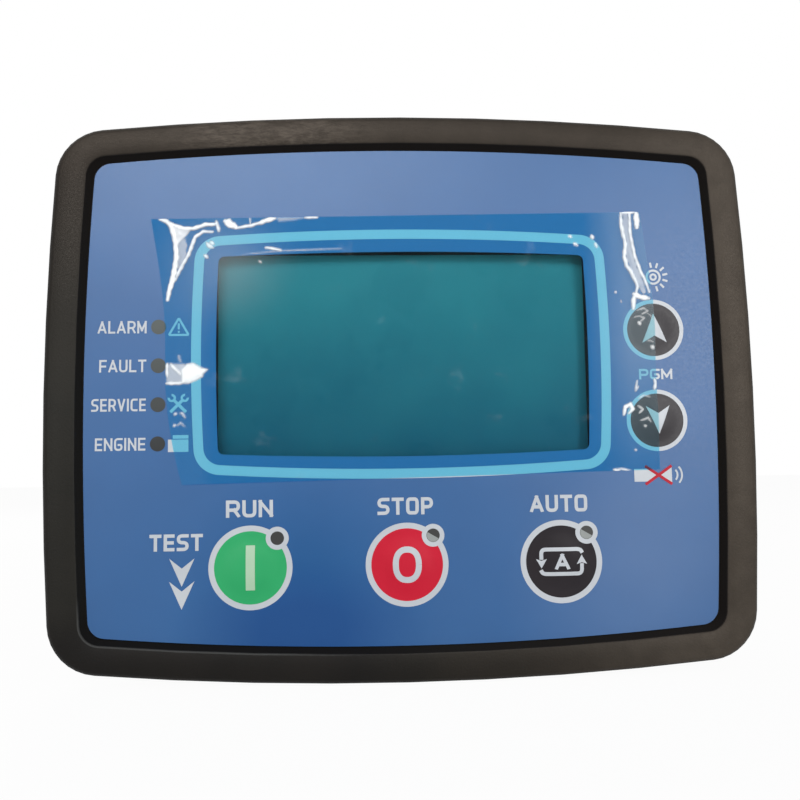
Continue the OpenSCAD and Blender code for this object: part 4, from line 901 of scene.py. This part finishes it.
# Folds: path, half width, height, and how white the painted glint on the crease is
FOLDS = [
    # web of the top left corner
    ([(-47.6, 34.8), (-46.3, 34.3), (-45.2, 32.8), (-44.7, 30.9), (-44.5, 29.0), (-44.3, 27.1), (-44.6, 25.2),
      (-45.1, 22.5), (-45.7, 20.6), (-46.1, 18.7)], 0.60, 0.4, 1.0),
    ([(-46.3, 34.2), (-45.0, 33.5), (-43.1, 32.9), (-41.2, 32.8), (-38.9, 33.6), (-36.5, 33.7)],
     0.42, 0.35, 1.0),
    ([(-37.4, 32.2), (-39.3, 32.2), (-40.8, 31.1), (-41.4, 29.6), (-42.1, 27.5), (-42.9, 26.0), (-43.8, 24.4),
      (-44.6, 22.5)], 0.36, 0.3, 0.9),
    ([(-44.0, 31.5), (-43.4, 29.6), (-43.4, 27.4), (-43.9, 25.2)], 1.2, 0.25, 0.38),
    # top edge, from the web to the right
    ([(-36.7, 34.3), (-36.4, 33.3), (-36.2, 32.3)], 0.36, 0.3, 0.9),
    ([(-34.9, 34.4), (-33.9, 33.7), (-32.9, 33.2)], 0.85, 0.4, 1.0),
    ([(-32.9, 32.9), (-30.0, 33.4), (-27.6, 34.1)], 0.32, 0.25, 0.95),
    ([(-28.2, 33.9), (-26.6, 34.5), (-25.2, 34.9)], 0.50, 0.3, 1.0),
    ([(-30.1, 35.0), (-30.0, 33.6)], 0.20, 0.1, 0.55),
    ([(-19.2, 35.05), (-16.8, 35.1)], 0.30, 0.15, 1.0),
    ([(-48.3, 17.0), (-47.9, 16.3), (-47.4, 16.0)], 0.26, 0.15, 0.9),
    # frame's top left corner and the window's top edge
    ([(-38.6, 30.0), (-38.1, 29.4), (-37.3, 29.0)], 0.42, 0.25, 0.75),
    ([(-37.8, 30.2), (-37.2, 29.7)], 0.34, 0.2, 0.8),
    ([(-39.0, 27.5), (-38.4, 27.0)], 0.36, 0.2, 0.8),
    ([(-31.6, 27.6), (-24.0, 28.3), (-12.0, 28.7)], 0.14, 0.08, 0.40),
    ([(-27.0, 29.0), (-26.0, 28.85), (-24.0, 28.4)], 0.28, 0.2, 1.0),
    ([(-28.3, 26.3), (-27.9, 26.0)], 0.22, 0.1, 0.65),
    # tunnel from the top edge to the up key
    ([(44.3, 35.9), (44.2, 33.6), (44.5, 31.7), (44.9, 29.4), (44.6, 26.8), (45.1, 24.9), (46.2, 23.0),
      (47.1, 20.7), (46.6, 18.8)], 0.36, 0.2, 0.95),
    ([(46.0, 35.7), (46.0, 31.7), (46.3, 29.4), (46.8, 26.8), (47.7, 24.1), (48.7, 21.8), (49.5, 19.6)],
     0.36, 0.2, 0.95),
    ([(45.2, 35.9), (45.2, 32.7), (45.5, 29.4), (45.8, 26.6), (46.5, 24.2), (47.6, 21.6), (48.3, 19.6)],
     1.0, 0.3, 0.40),
    ([(47.3, 35.9), (47.4, 34.6), (47.5, 32.8)], 0.66, 0.3, 0.95),
    ([(44.6, 35.9), (47.2, 35.9)], 0.40, 0.2, 0.85),
    ([(46.3, 19.2), (47.6, 18.5), (49.3, 18.3)], 0.60, 0.3, 0.95),
    ([(46.3, 18.8), (46.1, 17.4), (46.1, 16.2)], 0.50, 0.3, 0.95),
    # over the up key
    ([(46.8, 15.9), (48.2, 16.3), (49.0, 15.7), (47.8, 15.1)], 0.22, 0.12, 0.55),
    ([(46.2, 14.5), (47.2, 14.7), (48.2, 14.3), (47.4, 13.6)], 0.22, 0.12, 0.50),
    ([(48.6, 15.3), (49.4, 14.9), (49.8, 14.1)], 0.20, 0.1, 0.35),
    ([(47.0, 13.5), (47.3, 13.0)], 0.34, 0.15, 0.85),
    ([(48.6, 9.8), (49.8, 9.4)], 0.24, 0.1, 0.45),
    ([(49.4, 8.6), (49.8, 8.2)], 0.40, 0.2, 0.8),
    # frame's top right corner and the specks beside the keys
    ([(33.6, 31.1), (34.0, 30.9)], 0.34, 0.15, 0.8),
    ([(34.6, 29.6), (35.2, 29.2)], 0.36, 0.15, 0.8),
    ([(38.2, 31.2), (38.4, 30.6)], 0.42, 0.15, 0.85),
    ([(38.8, 29.6), (39.2, 28.8)], 0.30, 0.15, 0.7),
    ([(42.6, 19.7), (42.7, 19.5)], 0.28, 0.15, 0.9),
    ([(43.6, 18.0), (43.8, 17.4)], 0.24, 0.12, 0.4),
    ([(46.3, 1.7), (46.1, 0.7), (45.9, -0.2)], 0.24, 0.15, 0.75),
    ([(46.5, 0.6), (45.9, -0.4)], 0.22, 0.15, 0.7),
    # over the down key
    ([(49.8, 2.0), (49.9, 1.0), (49.7, 0.0)], 0.36, 0.2, 0.9),
    ([(43.4, -5.0), (43.7, -3.6), (44.7, -2.9), (45.2, -3.9), (44.4, -4.7)], 0.42, 0.25, 0.95),
    ([(46.3, -1.9), (47.5, -1.2), (48.7, -1.5)], 0.22, 0.12, 0.50),
    ([(46.3, -3.3), (47.2, -4.0), (46.5, -4.7)], 0.24, 0.12, 0.65),
    ([(46.7, -6.2), (48.1, -5.7), (48.6, -6.5)], 0.24, 0.12, 0.55),
    ([(47.3, -7.2), (47.7, -7.4)], 0.26, 0.12, 0.65),
    ([(45.3, -11.9), (45.6, -12.1)], 0.22, 0.1, 0.6),
    ([(41.2, -15.9), (42.4, -15.7), (44.4, -16.2)], 0.2, 0.12, 0.9),
    ([(41.0, -15.8), (42.0, -16.1)], 0.34, 0.15, 0.9),
    # beside the lower status lamps
    ([(-44.6, -3.8), (-44.2, -3.7)], 0.30, 0.2, 0.65),
    ([(-43.5, -3.6), (-43.1, -3.7), (-42.5, -4.5)], 0.24, 0.2, 0.6),
    ([(-44.7, -6.1), (-44.4, -5.9)], 0.30, 0.2, 0.65),
    ([(-44.0, -6.0), (-43.4, -5.5), (-42.6, -6.2)], 0.24, 0.15, 0.4),
    # stripes on the blister beside the second status lamp
    ([(-43.9, 7.6), (-43.5, 6.4)], 0.40, 0.2, 0.32),
    ([(-46.05, 6.0), (-46.0, 3.5)], 0.32, 0.2, 1.0),
    ([(-45.4, 6.0), (-43.3, 3.8)], 0.36, 0.2, 0.95),
    ([(-46.2, 2.2), (-42.8, 2.3)], 0.34, 0.2, 1.0),
]

# Flat facets that slope down to the film: the blister's painted glints and its painted hazy left half, the
# web of the top left corner, and a wedge at the top edge. Each has its corners, anticlockwise, its height and
# the whiteness of its painted glint
FACETS = [
    ([(-43.2, 2.2), (-41.9, 2.2), (-40.7, 2.65), (-39.2, 3.5), (-39.2, 5.0), (-41.05, 6.1), (-42.3, 5.95),
      (-43.3, 4.9)], 0.45, 1.0),
    ([(-39.7, 3.4), (-38.3, 4.85), (-39.7, 5.2)], 0.45, 1.0),
    ([(-46.2, 2.1), (-42.6, 2.1), (-42.6, 6.0), (-46.2, 6.0)], 0.2, 0.45),
    ([(-45.8, 33.6), (-44.3, 29.2), (-41.6, 32.7)], 0.2, 0.72),
    ([(-24.4, 34.2), (-21.4, 34.5), (-18.8, 35.1), (-25.0, 35.1)], 0.1, 0.30),
]

# Painted glare: a pale haze over the display's top left corner, and beside it on both sides, with the
# places where each side's glare starts or ends
GLARE_LEFT, GLARE_RIGHT, GLARE_RING = 0.11, 0.11, 0.025
GLARE_LEFT_X, GLARE_LEFT_Z, GLARE_LEFT_W, GLARE_LEFT_H = -36, 26, 10, 9
GLARE_RING_X, GLARE_RING_Z, GLARE_RIGHT_X, GLARE_RIGHT_Z = (-40, -36), (18, 24), (36, 45), (-22, 8)

rows = int((PEEL_TOP - PEEL_BOTTOM) / PEEL_STEP) + 1
cols = int((PEEL_RIGHT - PEEL_LEFT) / PEEL_STEP) + 1
u, v = np.linspace(0, 1, cols), np.linspace(0, 1, rows)[:, None]
bottom, top = PEEL_BOTTOM + PEEL_SLANT * u, PEEL_TOP + PEEL_RISE * u
z = bottom + (top - bottom) * v
left = PEEL_LEFT + PEEL_FLARE * np.sin(np.clip((PEEL_TOP - z) / PEEL_SWING, 0, 1) * pi / 2)
left += PEEL_DRIFT * np.clip((PEEL_DRIFT_TOP - z) / (PEEL_DRIFT_TOP - PEEL_BOTTOM), 0, 1) ** 2
right = PEEL_RIGHT - PEEL_LEAN * np.clip((z - PEEL_BEND) / (PEEL_TOP + PEEL_RISE - PEEL_BEND), 0, 1)
x = left + (right - left) * u
# Heights of the folds, and the whiteness of their painted glints and of the painted glare
lifted, painted_glint_and_glare = np.zeros(x.shape), np.zeros(x.shape)
ragged = 1 - CREASE_RAGGED + CREASE_RAGGED * np.sin(2.9 * x + 1.7 * z) * np.sin(2.3 * z - 1.1 * x)
for path, half, height, pale in FOLDS:
    off, passed = away_from(path, x, z)
    lifted += height * np.exp(-(off / half) ** 2) * taper(passed, FOLD_TAPER)
    reach = half * ragged * (CREASE_END + (1 - CREASE_END) * taper(passed, CREASE_TAPER))
    edge = np.clip((reach - off) / CREASE_BLUR + 0.5, 0, 1)
    painted_glint_and_glare = np.maximum(painted_glint_and_glare, pale * edge * edge * (3 - 2 * edge))
for corners, height, pale in FACETS:
    corners = np.array(corners)
    along = np.roll(corners, -1, 0) - corners
    out = np.stack([along[:, 1], -along[:, 0]], -1) / np.hypot(*along.T)[:, None]
    depth = -((x[..., None] - corners[:, 0]) * out[:, 0] + (z[..., None] - corners[:, 1]) * out[:, 1]).max(-1)
    lifted += height * np.clip(depth / FACET_SLOPE, 0, 1)
    painted_glint_and_glare = np.maximum(painted_glint_and_glare, pale * np.clip(depth / CREASE_BLUR + 0.5, 0, 1))
# Painted glare, added to the painted glints
loose = GLARE_LEFT * np.exp(-((x - GLARE_LEFT_X) / GLARE_LEFT_W) ** 2 - ((z - GLARE_LEFT_Z) / GLARE_LEFT_H) ** 2)
loose += GLARE_RING * np.interp(x, GLARE_RING_X, (1, 0)) * np.interp(z, GLARE_RING_Z, (1, 0))
loose += GLARE_RIGHT * np.interp(x, GLARE_RIGHT_X, (0, 1)) * np.interp(z, GLARE_RIGHT_Z, (0, 1))
painted_glint_and_glare = np.maximum(painted_glint_and_glare, loose)
lifted += PEEL_WAVE * (np.sin(0.31 * x + 0.6) * np.sin(0.27 * z) + 1)
height = film_face(x, z) + PEEL_GAP + np.minimum(lifted, PEEL_LIFT_MOST)

peel, tree, shader, place = new_material("clear_film")
haze = noise(tree, place, 130.0, 5.0, 0.62)
set_inputs(tree, shader, {
    "Base Color": CREASE_GLINT_WHITE, "Roughness": ramp(tree, haze, *NOISE_RANGE, *PEEL_ROUGH)})
gloss = add(tree, "Fresnel", {"IOR": PEEL_IOR}).outputs[0]
# Where the points are marked, opaque white is mixed in: painted glints on the creases and painted glare
share = calc(tree, "MAXIMUM", product(tree, attribute(tree, "glint_and_glare"), CREASE_SHARE),
             calc(tree, "ADD", gloss, ramp(tree, haze, *SMUDGE)), clamp=True)
see = add(tree, "BsdfTransparent", {"Color": PEEL_TINT})
show_mix(tree, "Material Output", share, see, shader)
film = new_piece("peel_film", raised(np.stack([x, z], -1), height).reshape(-1, 3), grid_faces(rows, cols),
                 "clear_film", peel)
mark(film, "glint_and_glare", painted_glint_and_glare.ravel())
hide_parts("protective_film")

# Terminals and serial jack
# Green plug-in terminals sit in headers on the rear board, with steel screws and tinned cages, and a
# black six-way jack beside them. All reach out through the rear housing's steps.
PLUGS = ("upper_plug_a", "upper_plug_b", "upper_plug_c", "lower_plug_a", "lower_plug_b")
PLUG_EDGE = 0.18
terminal = moulded("terminal_plastic", (0.010, 0.185, 0.048, 1), (0.016, 0.235, 0.064, 1), rough=(0.32, 0.5),
                   grain=0.5, depth=0.015)
for node in PLUGS + ("upper_headers", "lower_headers"):
    merged_copy(node, terminal, PLUG_EDGE)
merged_copy("serial_jack", dark, PLUG_EDGE)
dress(steel, "plug_screws")
dress(tinned, "header_pins", "wire_clamps")
dress(gold, "jack_contacts")

# Rear housing, brackets and clamp screws
# The back is moulded from the same black plastic and snaps into the collar. A hooked bracket on each
# side holds a plated screw that clamps the panel against the gasket.
REAR_EDGE, BRACKET_EDGE = 0.25, 0.2
merged_copy("rear_housing", housing, REAR_EDGE)
for side in ("left", "right"):
    merged_copy(side + "_bracket", dark, BRACKET_EDGE)
    merged_copy(side + "_clamp_screw", steel)

# Floor and light
# A pale floor under the bezel and a white surround. A wide soft lamp in front and above leaves a
# sheen on the upper film, one at each side pales its edges, and a narrow one catches the folds.
FLOOR_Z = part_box("front_housing")[0].z - 0.1 * MM
FLOOR_SIZE, FLOOR_COLS, FLOOR_GREY, FLOOR_ROUGH, FLOOR_GLOW = 4.0, 9, (0.8, 0.8, 0.8, 1), 0.9, 0.96
SOFT_POWER, RIGHT_POWER, LEFT_POWER, STRIP_POWER, BACK_POWER, FILL = 1.6, 1.1, 0.25, 0.15, 2.5, 0.25
WHITE_LIGHT = (1, 1, 1, 1)


def seen_rays(tree):
    """1 for rays from the camera, from a mirror or through glass."""
    path = tree.nodes.new("ShaderNodeLightPath").outputs
    return calc(tree, "MAXIMUM", path["Is Camera Ray"],
                calc(tree, "MAXIMUM", path["Is Glossy Ray"], path["Is Transmission Ray"]))


pale, tree, shader, place = new_material("pale_floor")
set_inputs(tree, shader, {"Base Color": FLOOR_GREY, "Roughness": FLOOR_ROUGH})
glow = add(tree, "Emission", {"Color": WHITE_LIGHT, "Strength": 1.0})
show_mix(tree, "Material Output", product(tree, seen_rays(tree), FLOOR_GLOW), shader, glow)
span = np.linspace(-FLOOR_SIZE / 2, FLOOR_SIZE / 2, FLOOR_COLS)
floor_points = np.stack(np.broadcast_arrays(span, span[:, None], FLOOR_Z), -1).reshape(-1, 3)
floor_shape = bpy.data.meshes.new("floor")
floor_shape.from_pydata(floor_points.tolist(), [], grid_faces(FLOOR_COLS, FLOOR_COLS).tolist())
floor_shape.materials.append(pale)
floor = bpy.data.objects.new("floor", floor_shape)
scene.collection.objects.link(floor)

world = bpy.data.worlds.new("surround")
scene.world = world
world.use_nodes = True
tree = world.node_tree
fill = tree.nodes["Background"]
set_inputs(tree, fill, {"Color": WHITE_LIGHT, "Strength": FILL})
bright = add(tree, "Background", {"Color": WHITE_LIGHT, "Strength": 1.0})
show_mix(tree, "World Output", seen_rays(tree), fill, bright)


def lamp(name, place, size, power):
    """Rectangular lamp aimed at the middle of the face."""
    data = bpy.data.lights.new(name, "AREA")
    data.shape, data.size, data.size_y, data.energy = "RECTANGLE", *size, power
    made = bpy.data.objects.new(name, data)
    made.location = place
    made.rotation_euler = (-Vector(place)).to_track_quat("-Z", "Y").to_euler()
    scene.collection.objects.link(made)


lamp("soft_lamp", (-0.10, -0.522, 0.277), (0.44, 0.18), SOFT_POWER)
lamp("right_lamp", (0.275, -0.52, 0.105), (0.15, 0.29), RIGHT_POWER)
lamp("left_lamp", (-0.30, -0.52, 0.02), (0.15, 0.20), LEFT_POWER)
lamp("strip_lamp", (-0.14, -0.47, 0.20), (0.22, 0.03), STRIP_POWER)
lamp("back_lamp", (-0.30, 0.55, 0.45), (0.60, 0.40), BACK_POWER)
